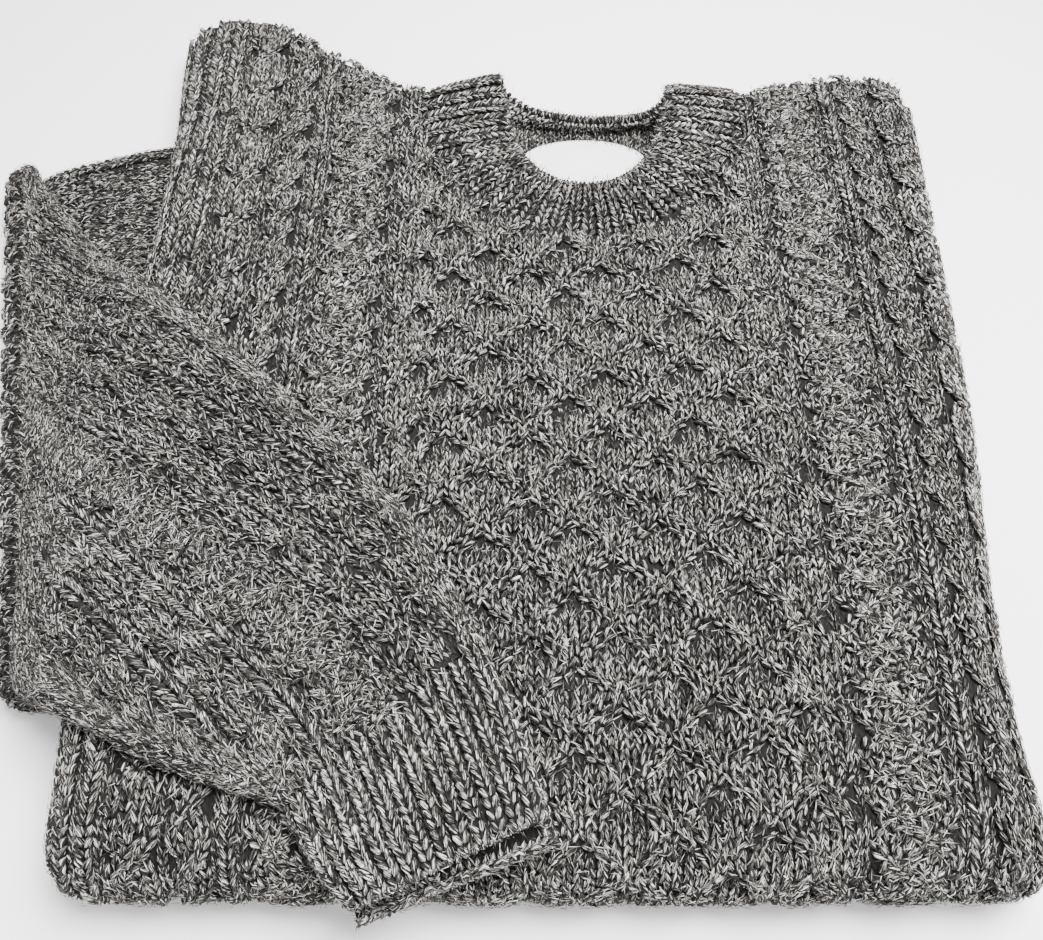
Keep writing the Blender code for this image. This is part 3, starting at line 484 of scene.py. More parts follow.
def strands(kind, width):
    # Each strand of a band: its number, how wide it is and how many columns of stitches it has
    if kind == "column":
        return [(0, width, max(1, round(width / body["wale"] - 0.2)))]
    if kind in ("box", "rope"):
        return [(-1, width / 2, 2), (1, width / 2, 2)]
    return [(number, 0.42 * width, 3) for number in range(3)]


def strandPlace(kind, number, width, run):
    # Offset from the band's middle and height, along the run. A box cable swaps its strands quickly every 45 mm, a
    # rope turns steadily, and a plait's three strands follow sines a third of a turn apart.
    if kind == "column":
        return 0 * run, 0 * run + 0.65
    if kind == "box":
        angle = math.pi * run / 0.045
        swap = np.clip(1.7 * np.cos(angle), -1, 1)
        over = number * np.sin(angle)
        return number * width / 4 * swap, 0.80 + (1 - swap ** 2) * np.where(over > 0, 0.25, -0.75)
    if kind == "rope":
        angle = math.pi * run / 0.026
        over = number * np.sin(angle)
        return number * width / 4 * np.cos(angle), 0.80 + np.where(over > 0, 0.20, 0.65) * over
    angle = 2 * math.pi * (run / 0.063 + number / 3)
    return 0.30 * width * np.sin(angle), 0.70 + 0.35 * np.cos(2 * angle)


def clothHeight(kind, f, width, run):
    # Height of the cloth under a band's stitches: its strands' crowns, whichever is highest
    offset = (f - 0.5) * width
    height = np.zeros(np.broadcast(f, run).shape)
    for number, strandWidth, count in strands(kind, width):
        place, lift = strandPlace(kind, number, width, run)
        height = np.maximum(height, lift * ridge(offset - place, strandWidth * 1.05))
    return height


def bandedHeight(across, run, bands):
    # Each band's own height where a place lies in it, and 0 between the bands
    height = np.zeros(np.broadcast(across, run).shape)
    for kind, start, width in bands:
        f = (across - start) / width
        height = np.where((f > 0) & (f < 1), clothHeight(kind, np.clip(f, 0, 1), width, run), height)
    return height


def furrows(bands, start):
    # Middles of the gaps before and between the bands
    ends = [start] + [place + width for kind, place, width in bands]
    return [(end + band[1]) / 2 for end, band in zip(ends, bands) if band[1] - end > 0.001]


def bandColumns(bands, runs, sign, start, furrow, origin=0.0):
    # Columns of stitches on each strand of each band, and a low one in each furrow, whose given tone is set dark as
    # painted shade in the furrow. A column holds its place across the cloth, its runs, its height over the cloth, its
    # width and its tone.
    columns = []
    for kind, edge, width in bands:
        for number, strandWidth, count in strands(kind, width):
            place, lift = strandPlace(kind, number, width, runs - origin)
            for wale in range(count):
                offset = (wale - (count - 1) / 2) * strandWidth / count
                crown = float(ridge(np.array(offset), strandWidth * 1.1))
                columns.append((sign * (edge + width / 2 + place + offset), runs, lift * crown,
                                strandWidth / count, 1.0))
    return columns + [(sign * gap, runs, -0.10, *furrow) for gap in furrows(bands, start)]


def joinColumns(columns):
    # All columns end to end, with the slope of each one's place over its run as the last row. Rows don't line up
    # from one column to the next: each starts a little further on.
    columns = [np.broadcast_arrays(place, run + body["stagger"] * math.sin(7.3 * number), *rest)
               for number, (place, run, *rest) in enumerate(columns)]
    slope = np.concatenate([np.gradient(place, run) if len(run) > 1 else 0 * run for place, run, *rest in columns])
    return [*joined(columns), np.clip(slope, -body["steepest"], body["steepest"])]


def ropeSway(number, run):
    # Neighbouring ropes of the honeycomb sway opposite ways, so that they part and meet. The sway is a cosine made
    # squarer by a hyperbolic tangent, which rounds each cell.
    wave = np.tanh(1.4 * np.cos(2 * math.pi * run / body["cellLength"])) / math.tanh(1.4)
    return number * body["cellWidth"] / 2 + (-1.0) ** number * body["cellWidth"] / 8 * wave


def bodyHeight(across, reach):
    run = reach - body["rowTilt"] * across
    cells = np.full(np.broadcast(across, run).shape, comb["level"])
    for number in range(-4, 5):
        cells = np.maximum(cells, ridge(across - ropeSway(number, run), comb["rope"]))
    height = np.where(np.abs(across) < 2 * body["cellWidth"], cells, bandedHeight(np.abs(across), run, bodyBands))
    return body["crown"] * height * smoothStep(reach, *body["foldFade"])


def lipTurn(reach):
    # How far the cloth turns round its side edge: less from the chest to the shoulders
    return body["lipTurn"] + (body["lipTurnBack"] - body["lipTurn"]) * smoothStep(reach, 0.48, 0.57)


def bodySpread(across, reach):
    # Past plainWidth the columns are spread so that the last one ends the wrap round the side edge
    edge = np.where(across > 0, bodyEdges.at("right", reach) - body["centreX"],
                    body["centreX"] - bodyEdges.at("left", reach))
    lip = bodyEdges.at("lip", reach)
    end = edge - lip + lipTurn(reach) * lip
    last = np.where(across > 0, body["lastRight"], body["lastLeft"])
    size = np.abs(across)
    far = body["plainWidth"] + (size - body["plainWidth"]) * (end - body["plainWidth"]) / (last - body["plainWidth"])
    return np.sign(across) * np.where(size > body["plainWidth"], far, size)


def bodyPoint(across, reach):
    # The body's outside: over the front fold by a half circle, round the side edges by the lip, and down over the
    # back edge by the rear turn
    lip = bodyEdges.at("lip", reach)
    side = np.sign(across)
    edge = np.where(across > 0, bodyEdges.at("right", reach) - body["centreX"],
                    body["centreX"] - bodyEdges.at("left", reach))
    flat = edge - lip
    turn = np.clip((np.abs(across) - flat) / lip, 0, lipTurn(reach))
    x = body["centreX"] + side * (np.minimum(np.abs(across), flat) + lip * np.sin(turn))
    drop = lip * (1 - np.cos(turn))
    foldRadius, axisY = body["foldRadius"], body["foldAxisY"]
    alpha = np.clip((axisY - reach) / foldRadius, 0, math.pi)
    rearRadius = body["rearRadius"] * np.clip(1 - 0.5 * drop / lip, 0.35, 1)
    rearStart = rearEdge.at("y", x) - 0.010 * (1 - np.cos(turn)) - rearRadius
    yTop = np.maximum(reach, axisY)
    beta = np.clip((yTop - rearStart) / rearRadius, 0, math.pi)
    y = np.where(yTop > rearStart, rearStart + rearRadius * np.sin(beta), yTop)
    z = bodyEdges.at("top", np.minimum(yTop, rearStart)) - drop - rearRadius * (1 - np.cos(beta))
    y = np.where(alpha > 0, axisY - (foldRadius - drop) * np.sin(alpha), y)
    z = np.where(alpha > 0, foldRadius + (foldRadius - drop) * np.cos(alpha), z)
    return np.stack(np.broadcast_arrays(x, y, z), axis=-1)


def bodyCloth(column, reach):
    # The body's outside under a pattern column
    return bodyPoint(bodySpread(column, reach), reach)


def reachEnd(column):
    # Where the front ends: at the oval neckline, or at the shoulder seam on the back edge
    x = bodyCloth(column, np.full_like(column, 0.55))[..., 0]
    outside = np.clip((np.abs(column) - 0.20) / 0.07, 0, 1)
    seam = rearEdge.at("y", x) - body["rearRadius"] - 0.020 * outside ** 2 + body["rearRadius"] * body["seamTurn"]
    oval = np.clip(1 - ((x - body["neckCentre"][0]) / (body["neckHalf"] + 0.0005)) ** 2, 0, 1)
    neckline = body["neckCentre"][1] - (body["neckDepth"] + 0.0005) * np.sqrt(oval)
    return np.where(oval > 0, np.minimum(neckline, seam), seam)


def underSleeve(place):
    # Well inside the outline of the sleeve and cuff as they lie over the front, so never seen
    corners = np.array([(-0.270, 0.170), (-0.270, 0.405), (-0.145, 0.290), (-0.050, 0.185), (-0.008, 0.090),
                        (-0.078, 0.052), (-0.120, 0.090), (-0.190, 0.125)])
    x, y = place[..., 0], place[..., 1]
    inside = np.zeros(x.shape, bool)
    for (x0, y0), (x1, y1) in zip(corners, np.roll(corners, -1, axis=0)):
        crossed = (y0 > y) != (y1 > y)
        inside ^= crossed & (x < (x1 - x0) * (y - y0) / (y1 - y0 + 1e-12) + x0)
    return inside & (place[..., 2] > 0.05)


def bodyStitches():
    # Places of every stitch of the front: pattern column, run along the cloth, height, width, tone and slope
    runs = np.arange(-0.075, 0.800, body["pitch"])
    columns = []
    for number in range(-4, 5):
        for wale in (-1, 1):
            columns.append((ropeSway(number, runs) + wale * comb["ropeWale"] / 2, runs, comb["ropeLift"],
                            comb["ropeWale"], comb["ropeTone"]))
    for cell in range(-4, 4):
        left, right = ropeSway(cell, runs), ropeSway(cell + 1, runs)
        half = (right - left) / 2 - comb["ropeWale"]
        turn = np.sin(2 * math.pi * runs / body["cellLength"] + (cell + 1) % 2 * math.pi)
        lift = 0.30 - 0.50 * np.clip(turn, 0, 1) + 0.40 * np.clip(-turn, 0, 1)
        # Painted shade: where a cell's stitches sink lowest they are also darkened by up to 0.45, for the shade under
        # the ropes' arch
        tone = 0.96 - 0.45 * np.clip(turn, 0, 1)
        for wale in (-1.5, -0.5, 0.5, 1.5):
            offset = wale * comb["cellWale"]
            shown = np.abs(offset) < half + 0.0012
            columns.append((((left + right) / 2 + offset)[shown], runs[shown], lift[shown], comb["cellWale"],
                            tone[shown]))
    for sign in (-1, 1):
        # The furrows' tone of 0.70 is painted shade
        columns += bandColumns(bodyBands, runs, sign, 2 * body["cellWidth"], (0.0048, 0.70))
    column, run, lift, width, tone, slope = joinColumns(columns)
    last = np.where(column > 0, body["lastRight"], body["lastLeft"])
    reach = run + body["rowTilt"] * column
    keep = (np.abs(column) < last - 0.002) & (reach > -0.026) & (reach < reachEnd(column) - 0.0025)
    keep &= ~underSleeve(bodyCloth(column, reach))
    return [values[keep] for values in (column, reach, lift, width, slope, tone)]


def layStitches(surface, first, second, lift, width, slope):
    # Lays a V at each place: up the second number, leaning by the slope, as wide as the surface makes its column
    alongFirst, alongSecond, normal = surfaceFrame(surface, first, second)
    centre = surface(first, second) + normal * (body["crown"] * lift)[:, None]
    along = unit(alongSecond + alongFirst * slope[:, None]) * body["pitch"]
    across = sideOf(along, normal, (width * np.linalg.norm(alongFirst, axis=-1))[:, None])
    return centre, along, across, normal


def makeBody():
    # The front's wall, then its stitches in four pieces of the same count, parted across the columns
    columns = np.linspace(-body["lastLeft"], body["lastRight"], 112)
    reach = -0.048 + np.linspace(0, 1, 84)[:, None] * (reachEnd(columns)[None, :] + 0.048)
    column = np.broadcast_to(columns, reach.shape)
    normal = surfaceFrame(bodyCloth, column, reach)[2]
    base = bodyCloth(column, reach)
    sink = body["sink"] * smoothStep(reach, -0.03, -0.01)
    outer = base + normal * (bodyHeight(column, reach) * body["relief"] - sink)[..., None]
    inner = base - normal * body["wall"]
    cloth = wallMesh("frontCloth", outer, inner, False, clothBodyPaintedShade, np.stack([column, reach], axis=-1))
    column, reach, lift, width, slope, tone = bodyStitches()
    lift = lift * smoothStep(reach, *body["foldFade"])
    quarter = np.searchsorted(np.quantile(column, [0.25, 0.5, 0.75]), column)
    pieces = []
    for number, letter in enumerate("ABCD"):
        m = quarter == number
        laid = layStitches(bodyCloth, column[m], reach[m], lift[m], width[m], slope[m])
        pieces.append(addStitches("frontStitches" + letter, *laid, yarnBody, tone[m]))
    return cloth, pieces


frontCloth, frontStitches = makeBody()
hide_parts("front_panel")
print("front done")


# The sleeve

sleeve = {
    "halfAtFold": 0.0090, "wall": 0.0032, "turnRadius": 0.0105, "underHeight": 0.0090, "ease": 0.050,
    "upright": 0.9, "wale": 0.0062, "pitch": 0.0050, "edge": 0.013, "length": 0.408,
    "edgeTurns": np.radians([-75, -45, -15, 15, 45, 70]),
}
sleeveTurn = math.pi * sleeve["turnRadius"]
sleeveEdges = Course("run upperX upperY lowerX lowerY half", [
    (-0.160, -0.208, 0.530, -0.208, 0.160, 0.0085), (-0.110, -0.258, 0.568, -0.240, 0.150, 0.0090),
    (-0.055, -0.310, 0.557, -0.257, 0.144, 0.0090), (0.000, -0.360, 0.531, -0.275, 0.140, 0.0090),
    (0.060, -0.318, 0.474, -0.263, 0.134, 0.0085), (0.120, -0.262, 0.412, -0.247, 0.126, 0.0080),
    (0.190, -0.200, 0.359, -0.216, 0.112, 0.0080), (0.260, -0.136, 0.301, -0.179, 0.095, 0.0080),
    (0.320, -0.084, 0.248, -0.150, 0.085, 0.0080), (0.370, -0.047, 0.199, -0.128, 0.079, 0.0082),
    (0.410, -0.022, 0.153, -0.113, 0.074, 0.0085)])
sleeveBands = [
    ("column", -0.196, 0.014), ("column", -0.180, 0.016), ("column", -0.158, 0.018), ("column", -0.132, 0.018),
    ("rope", -0.106, 0.024), ("column", -0.080, 0.010), ("box", -0.067, 0.025), ("column", -0.041, 0.010),
    ("plait", -0.028, 0.042), ("box", 0.017, 0.025), ("rope", 0.045, 0.024), ("column", 0.071, 0.010),
    ("rope", 0.084, 0.024), ("column", 0.114, 0.018), ("column", 0.140, 0.018), ("column", 0.164, 0.016),
    ("column", 0.182, 0.014)]


def coverHeight(x, y):
    # Height of what the sleeve lies on: the body's cables, the surface beside it, or the front fold's slope
    front = np.clip(body["foldAxisY"] - y, 0, None)
    overBody = bodyEdges.at("top", np.maximum(y, body["foldAxisY"])) + body["crown"] + 0.0008 - 12 * front ** 2
    beside = sleeve["underHeight"] + 2 * sleeve["turnRadius"] - sleeve["halfAtFold"]
    climb = smoothStep(x - bodyEdges.at("left", y), -0.065, 0.012)
    return beside + climb * (overBody - beside)


def tubePlan(edges, run, offset):
    # Place in plan at an offset from the middle of a flattened tube, and half its width there
    upper = np.stack([edges.at("upperX", run), edges.at("upperY", run)], axis=-1)
    lower = np.stack([edges.at("lowerX", run), edges.at("lowerY", run)], axis=-1)
    halfWidth = np.linalg.norm(upper - lower, axis=-1) / 2
    return (upper + lower) / 2 + (upper - lower) / 2 * (offset / halfWidth)[..., None], halfWidth


def sleeveRun(path):
    # Run in plan: the path less the half circle at the sleeve's own fold
    return np.where(path < 0, path, np.maximum(path - sleeveTurn, 0))


def sleeveHalf(path):
    # Half the flattened tube's width at a place along it
    return tubePlan(sleeveEdges, sleeveRun(path), 0 * path)[1]


def sleeveMiddle(path, offset):
    # Middle of the two layers: on the surface, round the sleeve's own fold by a half circle, then up over the body
    run = sleeveRun(path)
    place = tubePlan(sleeveEdges, run, offset)[0]
    turn = np.clip(path / sleeve["turnRadius"], 0, math.pi)
    edge = np.array([sleeveEdges.at("upperX", 0.0) - sleeveEdges.at("lowerX", 0.0),
                     sleeveEdges.at("upperY", 0.0) - sleeveEdges.at("lowerY", 0.0)])
    edge = edge / np.linalg.norm(edge)
    place = place + np.array([-edge[1], edge[0]]) * (sleeve["turnRadius"] * np.sin(turn))[..., None]
    below = sleeve["underHeight"] + sleeve["turnRadius"] * (1 - np.cos(turn))
    above = coverHeight(place[..., 0], place[..., 1]) + sleeveEdges.at("half", run)
    z = below + (above - below) * smoothStep(path - sleeveTurn, 0, sleeve["ease"])
    return np.concatenate([place, z[..., None]], axis=-1)


def sleeveFacing(path, offset):
    # Normal of the middle, leaned towards straight up where the sleeve lies on the body
    facing = surfaceFrame(sleeveMiddle, path, offset, 0.0004)[2]
    upright = (sleeve["upright"] * smoothStep(path - sleeveTurn, -0.004, 0.004))[..., None]
    return unit(facing * (1 - upright) + np.array([0, 0, 1]) * upright)


def crowd(column, halfWidth):
    # Columns keep their offsets in the middle and crowd together towards a narrower tube's edges
    share = np.abs(column) / halfWidth
    last = 0.2 / halfWidth
    room = 0.25
    packed = 1 - room + room * (1 - np.exp(-(share - 1 + room) / room)) / (1 - np.exp(-(last - 1 + room) / room))
    return np.sign(column) * np.where(share > 1 - room, packed, share) * halfWidth


def sleeveSkin(path, offset, side, inset=0.0):
    # One layer of the tube: the middle, half the thickness up or down, rounded off towards the side edges
    path, offset = np.broadcast_arrays(path, offset)
    near = np.clip((sleeveHalf(path) - inset - np.abs(offset)) / (sleeve["edge"] - inset), 0, 1)
    thick = side * (sleeveEdges.at("half", sleeveRun(path)) - inset) * np.sqrt(1 - (1 - near) ** 2)
    return sleeveMiddle(path, offset) + sleeveFacing(path, offset) * thick[..., None]


def sleeveTop(column, path):
    # The layer that shows, under a pattern column
    return sleeveSkin(path, crowd(column, sleeveHalf(path)), 1.0)


def edgeStitches(sign, angle, path):
    # Stitches at one angle round a side edge: out from the middle by the edge's width less its cosine share, and up
    # by its sine share of the half thickness
    halfWidth = sleeveHalf(path)
    half = sleeveEdges.at("half", sleeveRun(path))

    def skin(turn):
        offset = sign * (halfWidth - sleeve["edge"] * (1 - math.cos(turn)))
        return sleeveMiddle(path, offset) + sleeveFacing(path, offset) * (half * math.sin(turn))[..., None]

    centre = skin(angle)
    heading = unit(np.gradient(centre, axis=0))
    up = unit(np.cross(heading, unit(skin(angle + 0.02) - skin(angle - 0.02))))
    up = turnedTo(up, centre - sleeveMiddle(path, sign * (halfWidth - sleeve["edge"])))
    return centre + up * 0.0004, -heading * sleeve["pitch"], sideOf(heading, up, sleeve["wale"]), up


def sleeveShell():
    # Columns across the top layer and back across the lower one, rows under the body, round the fold and over it
    topCount = 76
    path = np.concatenate([np.linspace(-0.158, -0.012, 12), np.linspace(0, sleeveTurn, 10),
                           sleeveTurn + np.linspace(0.005, 0.410, 64)])[:, None]
    columns = np.concatenate([np.linspace(-0.2, 0.2, topCount), np.linspace(0.2, -0.2, 34)[1:-1]])
    halfWidth = sleeveHalf(path)
    offset = crowd(columns[None, :], halfWidth)
    column, path = np.broadcast_arrays(columns[None, :], path)
    side = np.broadcast_to(np.where(np.arange(len(columns)) < topCount, 1.0, -1.0), offset.shape)
    shown = smoothStep(path, 0.35 * sleeveTurn, 0.65 * sleeveTurn)
    relief = bandedHeight(column, sleeveRun(path), sleeveBands) * (side > 0) * shown
    near = np.clip((halfWidth - np.abs(offset)) / sleeve["edge"], 0, 1)
    raised = (body["crown"] * relief * body["relief"] - body["sink"]) * np.sqrt(1 - (1 - near) ** 2)
    outer = sleeveSkin(path, offset, side) + sleeveFacing(path, offset) * (side * raised)[..., None]
    inner = sleeveSkin(path, offset * (1 - 0.0045 / halfWidth), side, sleeve["wall"])
    uv = np.stack([column + np.where(side > 0, 0, 0.5), path], axis=-1)
    return wallMesh("sleeveCloth", outer, inner, True, clothSleeve, uv)


def topStitches(runs):
    # The layer that shows, from the fold to the cuff, apart from its side edges
    # The furrows' tone of 0.78 is painted shade
    columns = bandColumns(sleeveBands, runs, 1, sleeveBands[0][1], (0.0060, 0.78), sleeveTurn)
    column, path, lift, width, tone, slope = joinColumns(columns)
    halfWidth = sleeveHalf(path)
    keep = np.abs(crowd(column, halfWidth)) < halfWidth - 0.0065
    column, path, lift, width, tone, slope = [row[keep] for row in (column, path, lift, width, tone, slope)]
    centre, heading, across, normal = layStitches(sleeveTop, column, path, lift, width, slope)
    up = turnedTo(normal, sleeveFacing(path, 0 * path))
    centre = centre + (up - normal) * (body["crown"] * lift)[:, None]
    across = unit(across) * np.maximum(np.linalg.norm(across, axis=-1), 0.0045)[:, None]
    return centre, -heading, across, up, tone


def underStitches():
    # On top of the hidden run, where it shows beside the body
    path, offset = pairsOf(np.arange(-0.150, -0.002, sleeve["pitch"]), np.arange(-0.19, 0.19, sleeve["wale"]))
    place = sleeveMiddle(path, offset)
    keep = (np.abs(offset) < sleeveHalf(path) - 0.008) & (place[:, 1] > 0.40) & (place[:, 0] < -0.20)
    path, offset = path[keep], offset[keep]
    step = 0.0006
    centre = sleeveSkin(path, offset, -1.0)
    heading = unit(sleeveSkin(path + step, offset, -1.0) - sleeveSkin(path - step, offset, -1.0))
    up = unit(centre - sleeveMiddle(path, offset))
    bands = 0.35 + 0.65 * (np.sin(offset * 420 + 2.2 * np.sin(path * 90)) > 0)
    # Painted shade: the low stripes are also set 0.065 darker than the raised ones
    return (centre + up * (0.0012 * bands)[:, None], heading * sleeve["pitch"], sideOf(heading, up, sleeve["wale"]),
            up, 0.86 + 0.1 * bands)


def makeSleeve():
    # The wall, then in one piece the stitches of the top layer, its side edges, the hidden run and its edge
    runs = np.arange(0.0, sleeveTurn + sleeve["length"], sleeve["pitch"])
    parts = [topStitches(runs)]
    for sign in (-1.0, 1.0):
        for angle in sleeve["edgeTurns"]:
            path = runs + 0.002 * math.sin(9 * angle)
            parts.append((*edgeStitches(sign, angle, path), 0 * path + 0.95))
    parts.append(underStitches())
    for angle in sleeve["edgeTurns"]:
        path = np.arange(-0.140, -0.002, sleeve["pitch"])
        centre, along, across, up = edgeStitches(1.0, angle, path)
        parts.append((centre, -along, across, up, 0 * path + 0.9))
    *laid, tone = joined(parts)
    return sleeveShell(), addStitches("sleeveStitches", *laid, yarnSleeve, tone)


# The sleeve's cloth is set dark, lightness -0.22, as painted shade where it shows between the stitches
clothSleeve = clothFinish("sleeveCloth", -0.22)
sleeveCloth, sleeveStitches = makeSleeve()
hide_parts("sleeve_right")
print("sleeve done")


# The cuff

cuff = {
    "ribs": 26, "ribDepth": 0.0030, "length": 0.088, "lip": 0.020, "wall": 0.0036, "pitch": 0.0047, "wale": 0.0071,
}
cuffEdges = Course("run upperX upperY lowerX lowerY half", [
    (0.000, -0.0218, 0.1526, -0.1130, 0.0737, 0.0085), (0.030, -0.0100, 0.1270, -0.1050, 0.0590, 0.0085),
    (0.060, 0.0010, 0.0990, -0.0960, 0.0450, 0.0090), (0.088, 0.0110, 0.0700, -0.0850, 0.0330, 0.0095),
    (0.102, 0.0160, 0.0570, -0.0800, 0.0230, 0.0095)])


def cuffMiddle(run, offset):
    # Middle of the two layers: half the thickness above what the cuff lies on
    place = tubePlan(cuffEdges, run, offset)[0]
    z = coverHeight(place[..., 0], place[..., 1]) + cuffEdges.at("half", run)
    return np.concatenate([place, z[..., None]], axis=-1)


def cuffSkin(angle, run, depth=0.0, ribShare=None):
    # The flattened tube: across by a squared-off cosine of the angle, thickness by the root of its sine, and the
    # lower layer reaching further at the mouth
    lower = np.clip(-np.sin(angle) * 4, 0, 1)
    runs = run + cuff["lip"] * smoothStep(run, 0.020, cuff["length"]) * lower
    halfWidth = tubePlan(cuffEdges, run, np.zeros_like(run))[1]
    ribs = 0
    if ribShare is not None:
        edge = 1 - 0.7 * smoothStep(run, cuff["length"] - 0.010, cuff["length"])
        ribs = np.cos(2 * math.pi * cuff["ribs"] * ribShare) * cuff["ribDepth"] / 2 * (1 - 0.6 * lower) * edge
    offset = np.abs(np.cos(angle)) ** 0.75 * np.sign(np.cos(angle)) * (halfWidth - depth)
    facing = surfaceFrame(cuffMiddle, runs, offset, 0.0004)[2]
    thick = np.sign(np.sin(angle)) * (cuffEdges.at("half", runs) - depth + ribs) * np.abs(np.sin(angle)) ** 0.5
    return cuffMiddle(runs, offset) + facing * thick[..., None]


def cuffAngles(count, start=0.0):
    # Angles at equal distances round the middle section, from a running sum of its chords
    fine = np.linspace(0, 2 * math.pi, 4001)
    plain = cuffSkin(fine, np.full_like(fine, 0.045), 1e-6)
    distance = np.concatenate([[0], np.cumsum(np.linalg.norm(np.diff(plain, axis=0), axis=-1))])
    return np.interp((np.arange(count) / count + start / cuff["ribs"]) % 1 * distance[-1], distance, fine)


def cuffLay(angle, run):
    # A stitch's direction and normal on the cuff's outer side: down its slope, and away from the inner side
    slope, normal = surfaceFrame(cuffSkin, angle, run, 0.0008)[1:]
    outwards = cuffSkin(angle, run) - cuffSkin(angle, run, cuff["wall"])
    return -unit(slope) * cuff["pitch"], unit(turnedTo(normal, outwards))


def makeCuff():
    # The ribbed wall, then its stitches in one piece
    angles = cuffAngles(cuff["ribs"] * 6)
    angle, run = np.meshgrid(angles, np.linspace(0.0003, cuff["length"], 26))
    share = np.broadcast_to(np.arange(len(angles)) / len(angles), angle.shape)
    outer = cuffSkin(angle, run, 0.0, share)
    inner = cuffSkin(angle, run, cuff["wall"])
    cloth = wallMesh("cuffCloth", outer, inner, True, clothCuff, np.stack([share * 0.24, run], axis=-1))
    # Along the ribs, each third column a little lower
    rows = np.arange(0.002, cuff["length"] + 0.001, cuff["pitch"])
    angle, run = pairsOf(cuffAngles(cuff["ribs"]) + 1e-4, rows)
    run = run + (np.tile(np.arange(cuff["ribs"]), len(rows)) % 3 - 1) * 0.0012
    along, up = cuffLay(angle, run)
    parts = [(cuffSkin(angle, run, 0.0, 0 * run) - up * 0.0002, along, sideOf(along, up, cuff["wale"]), up)]
    # Low stitches between the ribs, toned down to 0.45 as painted shade between the ribs
    angle, run = pairsOf(cuffAngles(cuff["ribs"], 0.5), rows)
    along, up = cuffLay(angle, run)
    parts.append((cuffSkin(angle, run) - up * 0.0018, along, sideOf(along, up, 0.0038), up))
    # Inside the lower lip, toned up to 1.25 as painted light against the tube's shadow there
    angles = cuffAngles(2 * cuff["ribs"])
    angle, run = pairsOf(angles[np.sin(angles) < -0.02], cuff["length"] - 0.0015 - np.arange(2) * 0.0048)
    centre = cuffSkin(angle, run, cuff["wall"])
    along, up = cuffLay(angle, run)[0], unit(centre - cuffSkin(angle, run))
    parts.append((centre, along, sideOf(along, up, 0.0062), up))
    # Round the mouth's edge, in three rows by their angle from its outer side
    angle = cuffAngles(2 * cuff["ribs"], 0.25)
    run = np.full(len(angle), cuff["length"])
    outside, inside = cuffSkin(angle, run), cuffSkin(angle, run, cuff["wall"])
    outwards, onwards = unit(outside - inside), unit(surfaceFrame(cuffSkin, angle, run, 0.0008)[1])
    for turn in np.radians([35, 90, 145]):
        up = unit(outwards * math.cos(turn) + onwards * math.sin(turn))
        along = unit(outwards * math.sin(turn) - onwards * math.cos(turn)) * 0.0036
        parts.append(((outside + inside) / 2 + up * 0.0016, along, sideOf(along, up, 0.0058), up))
    # Tones by part: ribs 1.04, between the ribs 0.45 as painted shade, inside the lip 1.25 as painted light, round the
    # mouth 1.0
    tones = [np.full(len(part[0]), tone) for part, tone in zip(parts, (1.04, 0.45, 1.25, 1.0, 1.0, 1.0))]
    return cloth, addStitches("cuffStitches", *joined(parts), yarnCuff, np.concatenate(tones))


# The cuff's cloth is set dark, lightness -0.34, as painted shade where it shows between the ribs' stitches
clothCuff = clothFinish("cuffCloth", -0.34, cuff["pitch"], 0.0062)
cuffCloth, cuffStitches = makeCuff()
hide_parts("cuff_right")
print("cuff done")


# The neckband

neck = {
    "ribs": 64, "ribDepth": 0.0016, "wall": 0.0036, "pitch": 0.0044, "bow": 0.0030, "round": 0.0018,
    "fold": math.radians(98), "foldWall": 0.0013, "slant": 0.09, "frontTurn": math.radians(104),
}
neckEdges = Course("angle seamX seamY seamZ rimX rimY rimZ", [
    (-30, -0.0590, 0.4638, 0.0560, -0.0300, 0.4960, 0.0630), (0, 0.0000, 0.4450, 0.0570, 0.0000, 0.4865, 0.0625),
    (15, 0.0305, 0.4498, 0.0568, 0.0160, 0.4885, 0.0627), (30, 0.0590, 0.4638, 0.0560, 0.0300, 0.4960, 0.0630),
    (45, 0.0834, 0.4860, 0.0545, 0.0410, 0.5070, 0.0635), (60, 0.1022, 0.5150, 0.0520, 0.0495, 0.5220, 0.0640),
    (72, 0.1135, 0.5440, 0.0505, 0.0550, 0.5420, 0.0652), (84, 0.1185, 0.5700, 0.0510, 0.0590, 0.5660, 0.0665),
    (92, 0.1160, 0.5830, 0.0510, 0.0612, 0.5785, 0.0675), (100, 0.1060, 0.5870, 0.0490, 0.0613, 0.5830, 0.0648),
    (111, 0.0910, 0.5840, 0.0462, 0.0585, 0.5755, 0.0595), (124, 0.0730, 0.5755, 0.0436, 0.0505, 0.5685, 0.0560),
    (140, 0.0500, 0.5710, 0.0412, 0.0370, 0.5625, 0.0540), (160, 0.0250, 0.5675, 0.0400, 0.0190, 0.5595, 0.0537),
    (180, 0.0000, 0.5655, 0.0398, 0.0000, 0.5580, 0.0535), (205, -0.0300, 0.5685, 0.0402, -0.0230, 0.5600, 0.0537)])


def neckLine(angle, share):
    # Straight from the seam to the rim, with a little bow, at an angle from the front
    turned = wrapped(angle)
    side = np.sign(turned) + (turned == 0)
    degrees = np.degrees(np.abs(turned))
    seam, rim = [np.stack([body["neckCentre"][0] + side * neckEdges.at(edge + "X", degrees),
                           neckEdges.at(edge + "Y", degrees), neckEdges.at(edge + "Z", degrees)], axis=-1)
                 for edge in ("seam", "rim")]
    rim[..., 1] -= neck["slant"] * (rim[..., 0] - body["neckCentre"][0]) * smoothStep(degrees, 60, 95)
    bow = neck["bow"] * np.sin(math.pi * share) * (0.5 + 0.5 * np.cos(turned))
    return seam + (rim - seam) * share[..., None] + np.array([0, 0, 1]) * bow[..., None]


